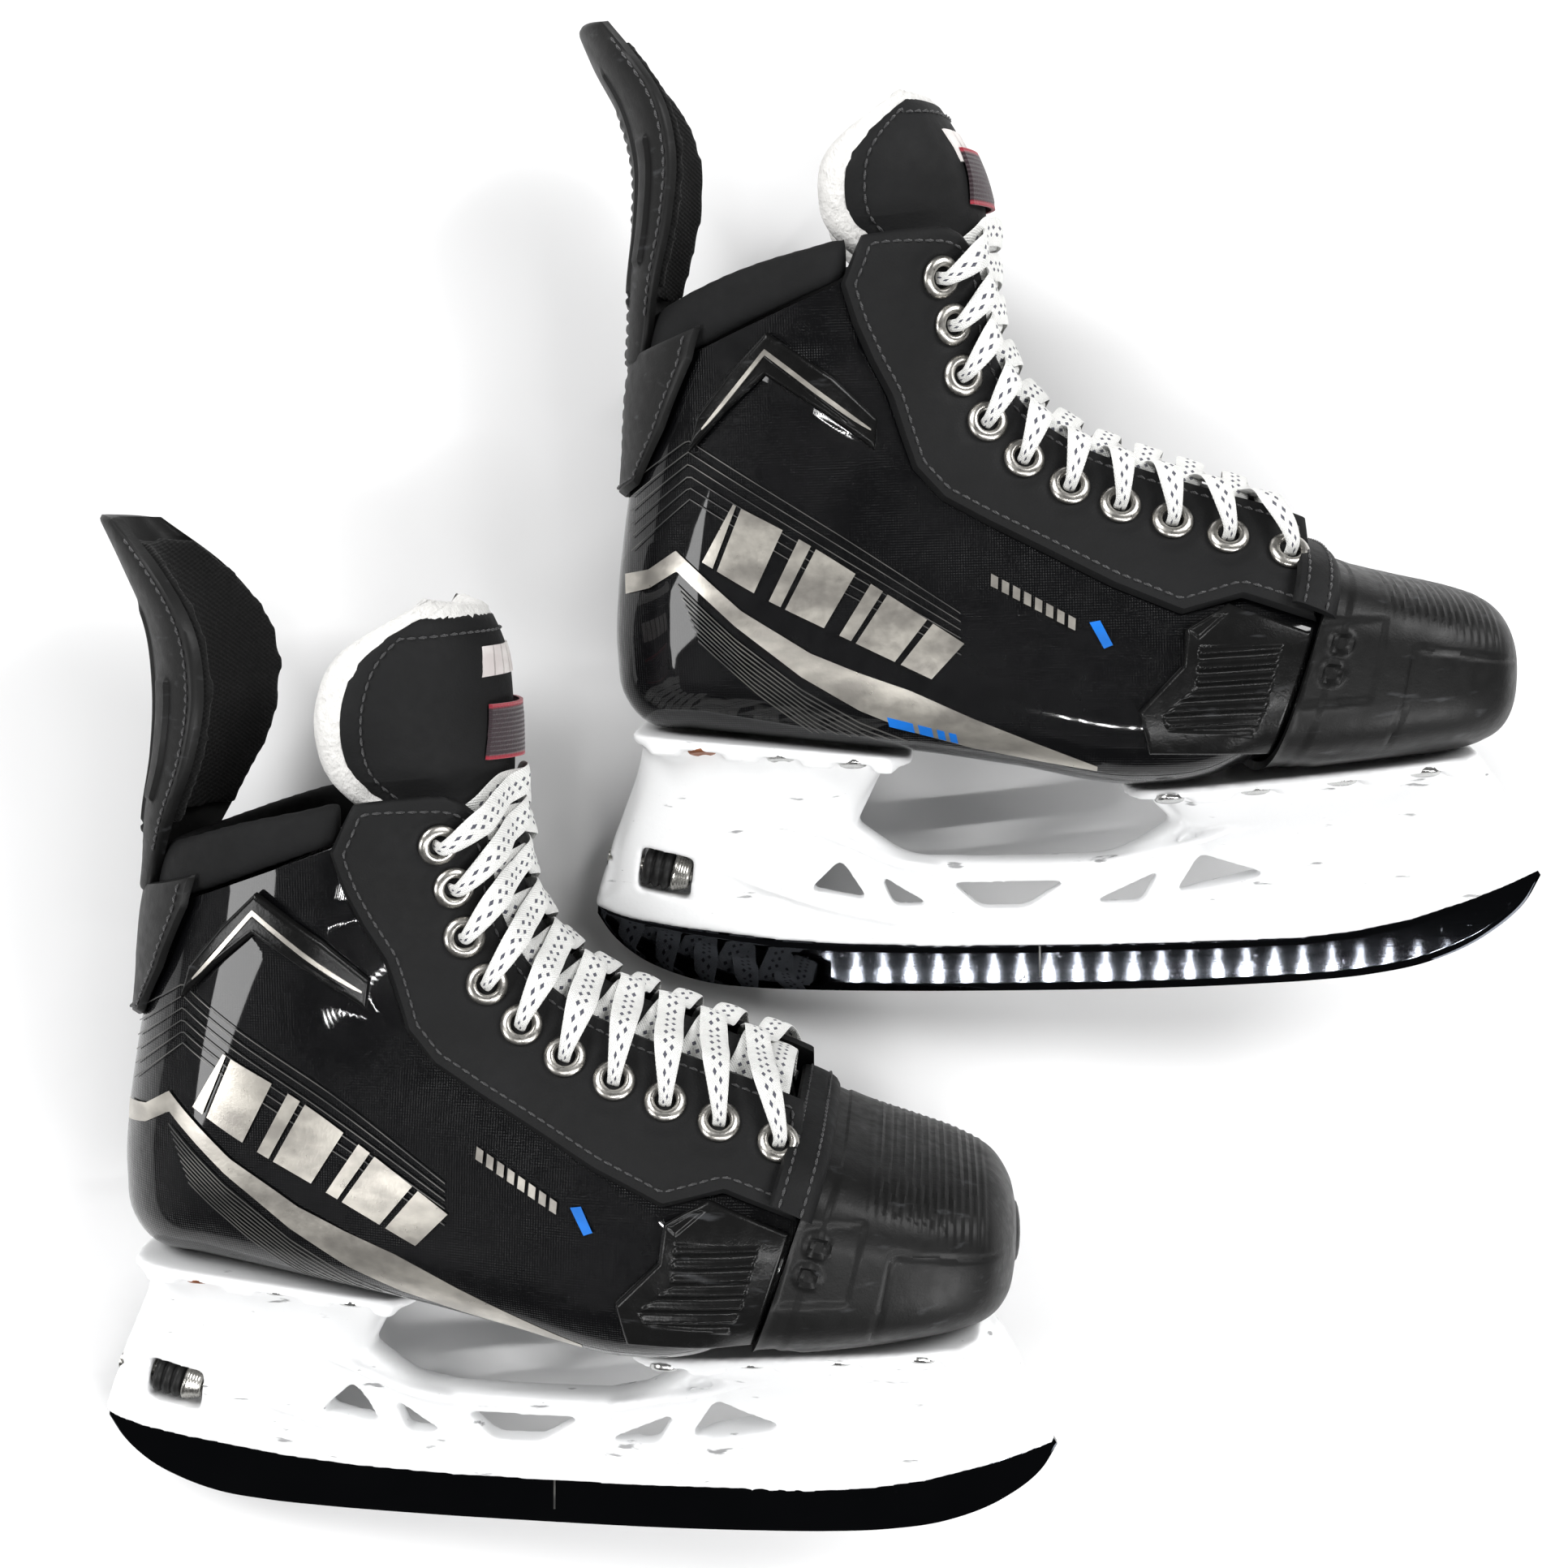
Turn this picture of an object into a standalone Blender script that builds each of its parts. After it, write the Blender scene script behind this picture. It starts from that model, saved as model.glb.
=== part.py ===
"""A pair of ice hockey skates lying on their sides, as separate pieces.

Each skate is designed standing on the ice, in its own frame: +X to the toe, +Y to the wearer's left and
+Z up, with x = 0 at the runner's rear tip and z = 0 on the ice.  Sizes here are in millimetres, and
add_piece turns them into metres.  Everything is drawn for a right foot, whose lateral side is -Y, and
the left skate is its mirror image.  At the end both skates are laid on their left-hand sides.
"""

import math

import bmesh
import bpy
import numpy as np
from mathutils import Matrix, Vector

MM = 0.001
LATERAL, MEDIAL = -1, 1
SIDE_NAMES = {LATERAL: "lateral", MEDIAL: "medial"}

# Fits
GAP = 0.3  # between pieces that touch
SEAM = 1.0  # between panels that meet edge to edge
OVERLAY_GAP = 1.0  # between the shell and the panels laid over it
LINER_GAP = 1.2  # between the shell and the liner

# Boot walls
SHELL_WALL = 3.0
LINER_WALL = 3.0
OVERLAY_WALL = 2.0
TOE_CAP_WALL = 2.6
INSOLE_WALL = 4.0
INSOLE_LIFT = 4.0  # over the liner's rounded floor
INSOLE_EDGE = 17.5
INSOLE_STATIONS = [(49, 8), (53, 2), (62, 0), (72, 0), (82, 0), (90, 2), (95, 6)]  # angle, narrowing

# Boot outline in side view: sections fan out round this pivot in front of the ankle
PIVOT = np.array([200.0, 262.0])
HEEL_SOLE_X, HEEL_SOLE_Z, HEEL_SOLE_SLOPE = 20.0, 84.3, -0.105
BALL_SOLE_X, BALL_SOLE_Z, BALL_SOLE_SLOPE = 166.0, 65.0, 0.087


def heel_sole(x):
    return HEEL_SOLE_Z + HEEL_SOLE_SLOPE * (x - HEEL_SOLE_X)


def ball_sole(x):
    return BALL_SOLE_Z + BALL_SOLE_SLOPE * (x - BALL_SOLE_X)


TOE_STEP = TOE_CAP_WALL + 2 * GAP  # the shell steps in by this much under the toe cap
OUTLINE = [
    (29, 217), (22, 195), (19, 172), (15, 150), (12, 130), (11, 110), (13, 95),
    (23, heel_sole(23)), (34, heel_sole(34)), (47, heel_sole(47)), (60, heel_sole(60)),
    (82, heel_sole(82)), (103, heel_sole(103)), (132, 71.5), (168, ball_sole(168)), (190, ball_sole(190)),
    (201, ball_sole(201) + TOE_STEP), (215, ball_sole(215) + TOE_STEP), (237, ball_sole(237) + TOE_STEP),
]
THROAT = [
    (92, 233), (116, 232), (122, 228), (125, 220), (129, 198), (137, 183), (153, 170),
    (169, 163), (192, 155), (215, 147), (226, 142),
]

# Half width of a section against its angle below the pivot's horizontal, in degrees
WIDTH_ANGLES = [14, 20, 28, 45, 60, 75, 88, 94, 102]
THROAT_HALF_WIDTH = [38, 30, 22, 20, 21, 22, 23, 24, 24]
BALL_HALF_WIDTH = 50.0
LATERAL_HALF_WIDTH = [BALL_HALF_WIDTH - d for d in (10, 10, 11, 13, 8, 2, 0, 2, 3.5)]
MEDIAL_HALF_WIDTH = [BALL_HALF_WIDTH - d for d in (10, 10, 11, 14, 11, 6, 1.5, 2, 3.5)]
WIDEST_AT = [0.35, 0.38, 0.42, 0.5, 0.5, 0.54, 0.56, 0.56, 0.56]
ROUNDNESS = [2.1, 2.1, 2.2, 2.6, 3.6, 4.0, 3.6, 3.2, 3.0]
ROUND_SHARES = [1.0, 0.97, 0.89, 0.74, 0.42]  # where a section's lower half is sampled, by half width

SHELL_ANGLES = [21.5, 25.5, 29.5, 34, 38, 42, 46.5, 52, 60, 68, 76, 83, 87.5, 90.8, 98]
LINER_ANGLES = [22.5, 30, 37, 42, 47, 54, 65, 76, 86, 91.2, 96]
SHELL_FROM_THROAT = 20.0  # the shell's front edge lies this far behind the throat, under the facing

# Toe cap: the bottom, top and half width of its sections, from its rear edge to the tip
CAP_EDGE_FOOT_X, CAP_EDGE_TOP_X, CAP_EDGE_TOP_Z = 204.0, 223.5, 137.5
CAP_BOTTOM = [(204, 0.3), (224, 0.3), (244, 0.3), (261, 0.8), (273, 3.0), (281, 9.5), (284, 18.0)]
CAP_TOP = [(223.5, 137.5), (236, 131), (251, 127), (264, 123), (274.5, 117.5), (281.5, 109), (284, 101)]
CAP_HALF_WIDTH = [BALL_HALF_WIDTH + d for d in (1.5, 1, -1.5, -7, -15, -27, -41)]
CAP_ROUNDNESS = [3.4, 3.3, 3.1, 2.9, 2.6, 2.4, 2.2]
TOE_INSET = 5.0  # the toe lies this far towards the medial side


def cap_edge(z):
    """Where the toe cap's rear edge stands in side view at a height."""
    foot_z = ball_sole(CAP_EDGE_FOOT_X)
    share = (z - foot_z) / (CAP_EDGE_TOP_Z - foot_z)
    return CAP_EDGE_FOOT_X + share * (CAP_EDGE_TOP_X - CAP_EDGE_FOOT_X)


# Facing: the angle of each row's throat end, and the row's lower end in side view
FACING_ROWS = [
    (19.0, (92, 230)), (25.0, (86, 217)), (31.0, (89, 206)), (37.0, (93, 196)), (43.0, (98, 186)),
    (49.0, (101.5, 175)), (55.0, (105, 165)), (61.0, (113, 156)), (67.0, (126, 148.5)),
    (74.0, (144, 139)), (81.0, (161, 130)), (88.0, (180, 122)), (93.0, (197, 126)),
]
FACING_FRONT_FOOT_Z, FACING_FRONT_ANGLE = 119.0, 98.5

# Eyelets
EYELETS = 10
EYELET_FIRST_ANGLE, EYELET_STEP_ANGLE = 26.0, 7.65
EYELET_INSET = 12.5
EYELET_BORE, EYELET_BARREL, EYELET_FLANGE = 3.0, 3.6, 5.8
EYELET_RIM, EYELET_SIDES = 1.1, 6
TAPE_HALF_WIDTH, TAPE_WALL = 3.6, 0.8

# Lace
LACE_WIDTH, LACE_THICKNESS = 8.4, 1.2
LACE_BUNCHED_WIDTH, LACE_BUNCHED_THICKNESS = 3.6, 1.6
LACE_UNDER, LACE_OVER = -1.6, 6.6  # offsets of its middle from the boot's surface at the throat
LACE_HOLE_IN, LACE_HOLE_OUT = -3.2, 7.4
LACE_BRIDGE_UNDER, LACE_BRIDGE_OVER = 3.4, 5.3  # heights over the tongue where strands cross
LACE_TUCK = 3.0

# Tongue
TONGUE_CROWN, TONGUE_FRONT_X = 3.0, 127.8  # how far it stands over the throat, and no further back than
TONGUE_COVER_WALL, TONGUE_FELT_WALL = 1.6, 6.0
TONGUE_SIDE_OFFSET = -4.4
TONGUE_FAN_ANGLES = [96, 86, 76, 67, 58, 50, 42, 35, 28]
TONGUE_FAN_REACH = (9.0, 18.0)
TONGUE_SPLIT_Z, TONGUE_SPLIT_GAP = 238.0, 0.6
TONGUE_PIVOT = (130.0, 238.0)
# Above the collar: crown x and z, then depth and half width of shoulder, side and edge.  The left
# tongue is pushed back and down by wear, and the right one stands up.
TONGUE_TOP_STATIONS = {
    "left": [
        (128.5, 238.3, (9, 19), (27, 29), (48, 31)),
        (126.0, 250.0, (9, 22), (26, 32), (45, 34)),
        (120.0, 263.0, (7, 20), (20, 29), (33, 32)),
        (112.5, 274.0, (5, 15), (12, 23), (20, 26)),
    ],
    "right": [
        (128.5, 238.3, (9, 19), (27, 29), (48, 31)),
        (128.0, 253.0, (9, 22), (27, 33), (48, 36)),
        (125.5, 271.0, (7, 22), (24, 33), (40, 36)),
        (119.0, 286.0, (5, 18), (14, 28), (25, 32)),
    ],
}
LOOP_HALF_WIDTH, LOOP_BOTTOM_Z, LOOP_TOP_Z, LOOP_WALL = 12.0, 240.0, 257.0, 1.2

# Collar, panels and badge in side view
COLLAR_ANGLES = [15.6, 18.2, 20.8]
COLLAR_WALL, COLLAR_PROUD, COLLAR_FRONT_X = 8.0, 0.6, 83.0
VENT_ROWS = [((193, 124.5), 116.0), ((181, 118), 109), ((180, 108), 102), ((168, 95), 93), ((171, 83), 83)]
BADGE_ROWS = [
    ((41, 172), (44, 182)), ((52, 183), (54, 194)), ((64, 193), (65, 205)),
    ((80, 182), (83, 192)), ((94, 171), (95, 180)),
]

# Tendon guard: back x, height, then depth and half width of its wings
GUARD_WALL, GUARD_PAD_WALL = 2.6, 4.0
GUARD_PIVOT = (22.0, 206.0)
GUARD_STATIONS = {
    "left": [
        (18.5, 206.0, 9, 21), (20, 222, 11, 26), (22.5, 240, 13.5, 29), (23, 258, 15, 30),
        (19.5, 272, 15.5, 30), (13, 285, 14, 27), (8.5, 296, 10, 19),
    ],
    "right": [
        (18.5, 206.0, 9, 21), (20, 222, 14, 27), (23, 240, 19, 31), (24, 260, 22, 33),
        (22, 277, 21, 32), (15, 293, 17, 27), (7.5, 307, 9, 17),
    ],
}
GUARD_PAD_STATIONS = slice(1, 6)
ANCHOR_ANGLES = [19.5, 24.0, 28.5, 32.5]
ANCHOR_REACH = [24.0, 24.0, 17.0, 9.0]  # how far each row reaches forward of the heel's back
ANCHOR_GAP, ANCHOR_WALL = 1.6, 2.4

# Holder
FLANGE_WALL = 3.2
FLANGE_GAP = 0.9
HOLDER_HALF_WEB = 5.0
LIP = [
    (0, 31), (5, 28.4), (12, 26), (26, 23.2), (58, 18.5), (81, 16.6), (110, 15.6), (137, 15.4),
    (174, 15.5), (222, 16.6), (239, 18.5), (256, 22), (274, 28), (286, 33), (295, 37.5),
]
HOLDER_FRONT = [(291, 45), (285, 56), (277, 69)]
HOLDER_BACK = [(15, 67), (7, 51), (1.5, 36)]
BRIDGE_TOP = [(177, 61), (187, 51), (166, 43.5), (99, 43.5), (84, 53), (94, 70)]
TRUSS_HOLES = [
    [(69, 34.5), (88, 30.5), (79.5, 44.5)],
    [(91.5, 39), (96, 28.5), (108, 28.5)],
    [(114, 36), (123.5, 27.5), (138, 27.5), (151, 36)],
    [(157, 28.5), (174, 28.5), (179.5, 39)],
    [(184, 31.5), (213, 37.5), (191.5, 44)],
]
REAR_TOWER = [(34, 3, 86, 6.2), (50, 8, 84, 8.5), (64, 14.5, 88, 14)]
REAR_TOWER_TOP = (19.5, 98.5, 21.5)
FRONT_TOWER = [(38, 196, 291, 6.2), (50, 189, 287.5, 8.5), (61, 181, 281, 17)]
FRONT_TOWER_TOP = (174.5, 270, 27)
REAR_FLANGE = (16.5, 103.0, 25.0)
FRONT_FLANGE = (167.0, 271.0, 32.0)
FLANGE_CORNER = 12.0

# Runner and its lock
RUNNER_HALF_WALL, TANG_HALF_WALL = 1.5, 1.35  # the exposed steel, and the part inside the holder
RUNNER_EDGE = [
    (0.3, 27.5), (4.5, 20.7), (13.7, 12.4), (22.8, 7.8), (34.7, 4.0), (50, 2.0), (68, 1.0), (95, 0.3),
    (137, 0), (180, 0.3), (208, 1.2), (227, 2.2), (245, 4.0), (262.6, 7.8), (280, 16.2), (291.6, 27), (295.7, 35),
]
TANG_FROM_X, TANG_TO_X, TANG = 11.0, 284.0, 7.0
REAR_HOOK = (38.0, 47.0, 40.0)
FRONT_HOOK = (246.0, 256.0, 46.0)
TANG_ROOT = 3.0  # how deep the tang is let into the exposed steel
LIP_GAP = 0.35
SLOT_CLEARANCE = 0.35
WINDOW = [(14.2, 36.2), (30.8, 32.0), (33.2, 45.8), (16.6, 50.2)]
LOCK_CENTRE = (23.6, 41.2)
LOCK_TILT = math.radians(14)
LOCK_ROD, LOCK_BORE = 2.2, 2.9
LOCK_ROD_FROM, LOCK_ROD_TO = -18.6, 13.9  # along the lock's axis from its centre
LOCK_WHEEL = [(-7.7, 3.8), (2.4, 3.8), (2.4, 6.2), (4.6, 6.2), (7.7, 4.6)]
LOCK_GRIP = [
    (-7.5, 5.0), (-6.6, 6.2), (-5.4, 6.2), (-4.5, 5.2), (-3.6, 6.2), (-2.4, 6.2), (-1.5, 5.2),
    (-0.6, 6.2), (0.8, 6.2), (1.8, 5.0),
]

# How each skate lies: turn in plan, roll towards the runner, yaw that lifts the toe, place of the
# runner's middle in plan
LAID = {
    "left": {"turn": 2.9, "roll": 9.8, "yaw": 10.0, "at": (74.7, -63.8)},
    "right": {"turn": -0.5, "roll": 8.6, "yaw": 9.0, "at": (-79.1, -227.6)},
}
RUNNER_MIDDLE = (137.0, 0.0, 0.0)

COLOURS = {
    "gloss_black": ((0.012, 0.012, 0.014), 0.18, 0.0),
    "matte_black": ((0.02, 0.021, 0.023), 0.62, 0.0),
    "rubber_black": ((0.016, 0.016, 0.017), 0.5, 0.0),
    "lining": ((0.03, 0.03, 0.032), 0.9, 0.0),
    "felt": ((0.85, 0.84, 0.82), 0.95, 0.0),
    "lace_white": ((0.9, 0.9, 0.88), 0.9, 0.0),
    "holder_white": ((0.9, 0.9, 0.9), 0.35, 0.0),
    "steel": ((0.3, 0.31, 0.33), 0.15, 1.0),
    "nickel": ((0.6, 0.59, 0.56), 0.3, 1.0),
    "loop_red": ((0.25, 0.01, 0.03), 0.8, 0.0),
}


# ---------------------------------------------------------------- curves and the boot's surface


def smooth(xs, ys):
    """A cubic curve through the points (xs, ys), as a function of x."""
    xs, ys = np.asarray(xs, float), np.asarray(ys, float)
    slopes = np.gradient(ys, xs)

    def curve(x):
        x = np.clip(x, xs[0], xs[-1])
        i = np.clip(np.searchsorted(xs, x) - 1, 0, len(xs) - 2)
        step = xs[i + 1] - xs[i]
        s = (x - xs[i]) / step
        return (
            ys[i] * (1 + 2 * s) * (1 - s) ** 2
            + ys[i + 1] * s * s * (3 - 2 * s)
            + step * s * (1 - s) * (slopes[i] * (1 - s) - slopes[i + 1] * s)
        )

    return curve


def polar(points):
    """Side-view points as a curve of distance from the pivot against the angle below it."""
    p = PIVOT - np.asarray(points, float)
    angles = np.degrees(np.arctan2(p[:, 1], p[:, 0]))
    return smooth(angles, np.hypot(p[:, 0], p[:, 1]))


outline_at = polar(OUTLINE)
throat_at = polar(THROAT)
throat_half_width = smooth(WIDTH_ANGLES, THROAT_HALF_WIDTH)
half_width_at = {
    LATERAL: smooth(WIDTH_ANGLES, LATERAL_HALF_WIDTH),
    MEDIAL: smooth(WIDTH_ANGLES, MEDIAL_HALF_WIDTH),
}
widest_at = smooth(WIDTH_ANGLES, WIDEST_AT)
roundness_at = smooth(WIDTH_ANGLES, ROUNDNESS)


def half_width(angle, t, side):
    """Half width of the boot at a share t of the way from the throat to the outline."""
    most, edge, widest = half_width_at[side](angle), throat_half_width(angle), widest_at(angle)
    if t < widest:
        return edge + (most - edge) * math.sin(math.pi / 2 * t / widest)
    n = roundness_at(angle)
    return most * max(0.0, 1 - ((t - widest) / (1 - widest)) ** n) ** (1 / n)


def ray_point(angle, r, y=0.0):
    a = math.radians(angle)
    return np.array([PIVOT[0] - r * math.cos(a), y, PIVOT[1] - r * math.sin(a)])


def depth_point(angle, depth, side):
    """The boot's surface at a distance behind the throat, along a ray from the pivot."""
    length = outline_at(angle) - throat_at(angle)
    return ray_point(angle, throat_at(angle) + depth, side * half_width(angle, depth / length, side))


def side_point(x, z, side):
    """The boot's surface at a place in side view."""
    dx, dz = PIVOT[0] - x, PIVOT[1] - z
    angle = math.degrees(math.atan2(dz, dx))
    return depth_point(angle, math.hypot(dx, dz) - throat_at(angle), side)


def side_normal(x, z, side):
    step = 0.5
    across = side_point(x + step, z, side) - side_point(x - step, z, side)
    up = side_point(x, z + step, side) - side_point(x, z - step, side)
    normal = np.cross(across, up)
    return normal / np.linalg.norm(normal) * (1 if normal[1] * side > 0 else -1)


def lifted(x, z, side, offset):
    """A point that stands off the boot's surface by offset."""
    return side_point(x, z, side) + offset * side_normal(x, z, side)


def throat_lifted(angle, depth, side, offset):
    p = depth_point(angle, depth, side)
    return p + offset * side_normal(p[0], p[2], side)


def section(angle, from_throat, steps_down=2):
    """The boot's surface round one section, from the lateral throat under the foot to the medial one."""
    length = outline_at(angle) - throat_at(angle)
    widest, n = widest_at(angle), roundness_at(angle)
    first = from_throat / length
    shares = [first + (widest - first) * k / steps_down for k in range(steps_down)]
    shares += [widest + (1 - widest) * (1 - w**n) ** (1 / n) for w in ROUND_SHARES]
    lateral = [depth_point(angle, t * length, LATERAL) for t in shares]
    medial = [depth_point(angle, t * length, MEDIAL) for t in reversed(shares)]
    return np.array(lateral + [ray_point(angle, outline_at(angle))] + medial)


def offset_rows(rows, distance):
    """Rows of surface points moved along their normals, outwards for a positive distance."""
    grid = np.array(rows)
    normals = np.cross(np.gradient(grid, axis=1), np.gradient(grid, axis=0))
    normals /= np.linalg.norm(normals, axis=2, keepdims=True)
    outwards = grid - grid.mean(axis=1, keepdims=True)
    signs = np.sign((normals * outwards).sum())
    return grid + distance * signs * normals


# ---------------------------------------------------------------- solids


def lofted(loops):
    """A closed solid through loops of points, with flat ends."""
    mesh = bmesh.new()
    rings = [[mesh.verts.new(p) for p in loop] for loop in loops]
    for a, b in zip(rings, rings[1:]):
        for k in range(len(a)):
            j = (k + 1) % len(a)
            mesh.faces.new((a[k], a[j], b[j], b[k]))
    mesh.faces.new(rings[0])
    mesh.faces.new(rings[-1])
    return mesh


def skin(outer, inner):
    """A closed solid between two grids of points, such as a wall's two faces.

    Both faces split their quads along the same diagonals, so that layers laid on each other stay apart.
    """
    mesh = bmesh.new()
    rings = [[mesh.verts.new(p) for p in list(o) + list(i)[::-1]] for o, i in zip(outer, inner)]
    size = len(rings[0])
    for a, b in zip(rings, rings[1:]):
        for k in range(size):
            j = (k + 1) % size
            quad = (a[k], a[j], b[j], b[k]) if k < size // 2 else (a[j], b[j], b[k], a[k])
            mesh.faces.new(quad)
    for ring in (rings[0], rings[-1]):
        for k in range(size // 2 - 1):
            mesh.faces.new((ring[k], ring[k + 1], ring[size - 2 - k], ring[size - 1 - k]))
    return mesh


def cup(outer, inner):
    """A wall between two nests of loops, open at the first loop and closed over the last."""
    mesh = bmesh.new()
    shells = [[[mesh.verts.new(p) for p in loop] for loop in nest] for nest in (outer, inner)]
    for rings in shells:
        for a, b in zip(rings, rings[1:]):
            for k in range(len(a)):
                j = (k + 1) % len(a)
                mesh.faces.new((a[k], a[j], b[j], b[k]))
        mesh.faces.new(rings[-1])
    rim_out, rim_in = shells[0][0], shells[1][0]
    for k in range(len(rim_out)):
        j = (k + 1) % len(rim_out)
        mesh.faces.new((rim_out[k], rim_out[j], rim_in[j], rim_in[k]))
    return mesh


def plate(points, half_wall, y=0.0):
    """A side-view outline extruded to both sides of a plane."""
    return lofted([[(x, y + s * half_wall, z) for x, z in points] for s in (-1, 1)])


def turned(profile, bore, origin, axis, across, sides):
    """A ring turned round an axis: profile points are (along, radius), closed by its bore."""
    origin, axis, across = (np.array(v, float) for v in (origin, axis, across))
    other = np.cross(axis, across)
    loop = list(profile) + [(profile[-1][0], bore), (profile[0][0], bore)]
    mesh = bmesh.new()
    rings = []
    for k in range(sides):
        turn = 2 * math.pi * k / sides
        out = across * math.cos(turn) + other * math.sin(turn)
        rings.append([mesh.verts.new(origin + axis * along + out * r) for along, r in loop])
    for a, b in zip(rings, rings[1:] + rings[:1]):
        for k in range(len(loop)):
            j = (k + 1) % len(loop)
            mesh.faces.new((a[k], a[j], b[j], b[k]))
    return mesh


def rod(start, end, radius, across, sides):
    start, end, across = (np.array(v, float) for v in (start, end, across))
    axis = (end - start) / np.linalg.norm(end - start)
    other = np.cross(axis, across)
    turns = [2 * math.pi * k / sides for k in range(sides)]
    circle = [(across * math.cos(a) + other * math.sin(a)) * radius for a in turns]
    return lofted([[end_point + p for p in circle] for end_point in (start, end)])


def joined(meshes):
    """Several meshes in one, as islands that don't touch."""
    whole = bmesh.new()
    for mesh in meshes:
        offset = {v: whole.verts.new(v.co) for v in mesh.verts}
        for face in mesh.faces:
            whole.faces.new([offset[v] for v in face.verts])
        mesh.free()
    return whole


# ---------------------------------------------------------------- objects


def material(name):
    found = bpy.data.materials.get(name)
    if found:
        return found
    colour, roughness, metallic = COLOURS[name]
    made = bpy.data.materials.new(name)
    made.use_nodes = True
    shader = made.node_tree.nodes["Principled BSDF"]
    shader.inputs["Base Color"].default_value = (*colour, 1)
    shader.inputs["Roughness"].default_value = roughness
    shader.inputs["Metallic"].default_value = metallic
    return made


class Skate:
    """One skate's frame.  Pieces are drawn for the right foot, and mirrored for the left."""

    def __init__(self, foot):
        self.foot = foot
        self.mirror = -1 if foot == "left" else 1
        self.frame = bpy.data.objects.new(foot + "_skate_frame", None)
        bpy.context.scene.collection.objects.link(self.frame)
        self.pieces = []

    def mesh(self, name, built, origin=(0, 0, 0)):
        bmesh.ops.recalc_face_normals(built, faces=built.faces)
        for v in built.verts:
            v.co = Vector((v.co - Vector(origin)) * MM)
            v.co.y *= self.mirror
        if self.mirror < 0:
            bmesh.ops.reverse_faces(built, faces=built.faces)
        data = bpy.data.meshes.new(name)
        built.to_mesh(data)
        built.free()
        obj = bpy.data.objects.new(name, data)
        bpy.context.scene.collection.objects.link(obj)
        obj.parent = self.frame
        place = Vector(origin) * MM
        obj.location = (place.x, place.y * self.mirror, place.z)
        return obj

    def add_piece(self, name, built, finish, origin=(0, 0, 0), round_piece=True):
        """Makes one named piece.  A moving piece has its origin on its joint's axis."""
        obj = self.mesh(f"{self.foot}_{name}", built, origin)
        obj.data.materials.append(material(finish))
        if round_piece:
            obj.data.shade_smooth()
            obj.data.set_sharp_from_angle(angle=math.radians(40))
        self.pieces.append(obj)
        return obj

    def combine(self, obj, operation, built, label):
        """Joins to obj, or cuts from it, a helper solid that isn't a piece itself."""
        helper = self.mesh(f"{obj.name}_{label}", built)
        helper.hide_render = True
        helper.display_type = "WIRE"
        modifier = obj.modifiers.new(label, "BOOLEAN")
        modifier.operation = operation
        modifier.object = helper

    def lay(self, turn, roll, yaw, at):
        """Lays the skate on its left-hand side, with its lowest point on the floor."""
        upright_to_lying = Matrix.Rotation(math.radians(-90), 4, "X")
        self.frame.matrix_world = (
            Matrix.Rotation(math.radians(turn), 4, "Z")
            @ Matrix.Rotation(math.radians(roll), 4, "X")
            @ Matrix.Rotation(math.radians(-yaw), 4, "Y")
            @ upright_to_lying
        )
        bpy.context.view_layer.update()
        middle = self.frame.matrix_world @ (Vector(RUNNER_MIDDLE) * MM)
        low = lowest_and_highest(self.pieces)[0]
        self.frame.location += Vector((at[0] * MM - middle.x, at[1] * MM - middle.y, -low.z))


def lowest_and_highest(pieces):
    """The corners of the box round the pieces, in the world."""
    bpy.context.view_layer.update()
    graph = bpy.context.evaluated_depsgraph_get()
    corners = []
    for obj in pieces:
        shown = obj.evaluated_get(graph)
        mesh = shown.to_mesh()
        corners += [shown.matrix_world @ v.co for v in mesh.vertices]
        shown.to_mesh_clear()
    low = Vector([min(c[k] for c in corners) for k in range(3)])
    high = Vector([max(c[k] for c in corners) for k in range(3)])
    return low, high


# ---------------------------------------------------------------- boot


def make_shell_and_liner(skate):
    shell = [section(a, SHELL_FROM_THROAT) for a in SHELL_ANGLES]
    skate.add_piece("boot_shell", skin(shell, offset_rows(shell, -SHELL_WALL)), "gloss_black")
    lining = [section(a, SHELL_FROM_THROAT + 1) for a in LINER_ANGLES]
    outside = SHELL_WALL + LINER_GAP
    skate.add_piece(
        "inner_liner",
        skin(offset_rows(lining, -outside), offset_rows(lining, -outside - LINER_WALL)),
        "lining",
    )


def make_insole(skate):
    below = SHELL_WALL + LINER_GAP + LINER_WALL + INSOLE_LIFT
    loops = []
    for angle, narrowing in INSOLE_STATIONS:
        length = outline_at(angle) - throat_at(angle)
        bottom = outline_at(angle) - below
        reach = [
            side * (half_width(angle, 1 - (below + 1) / length, side) - INSOLE_EDGE - narrowing)
            for side in (LATERAL, MEDIAL)
        ]
        low = [ray_point(angle, bottom, y) for y in reach]
        high = [ray_point(angle, bottom - INSOLE_WALL, y) for y in reach]
        loops.append([low[0], low[1], high[1], high[0]])
    skate.add_piece("insole", lofted(loops), "lining")


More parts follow.
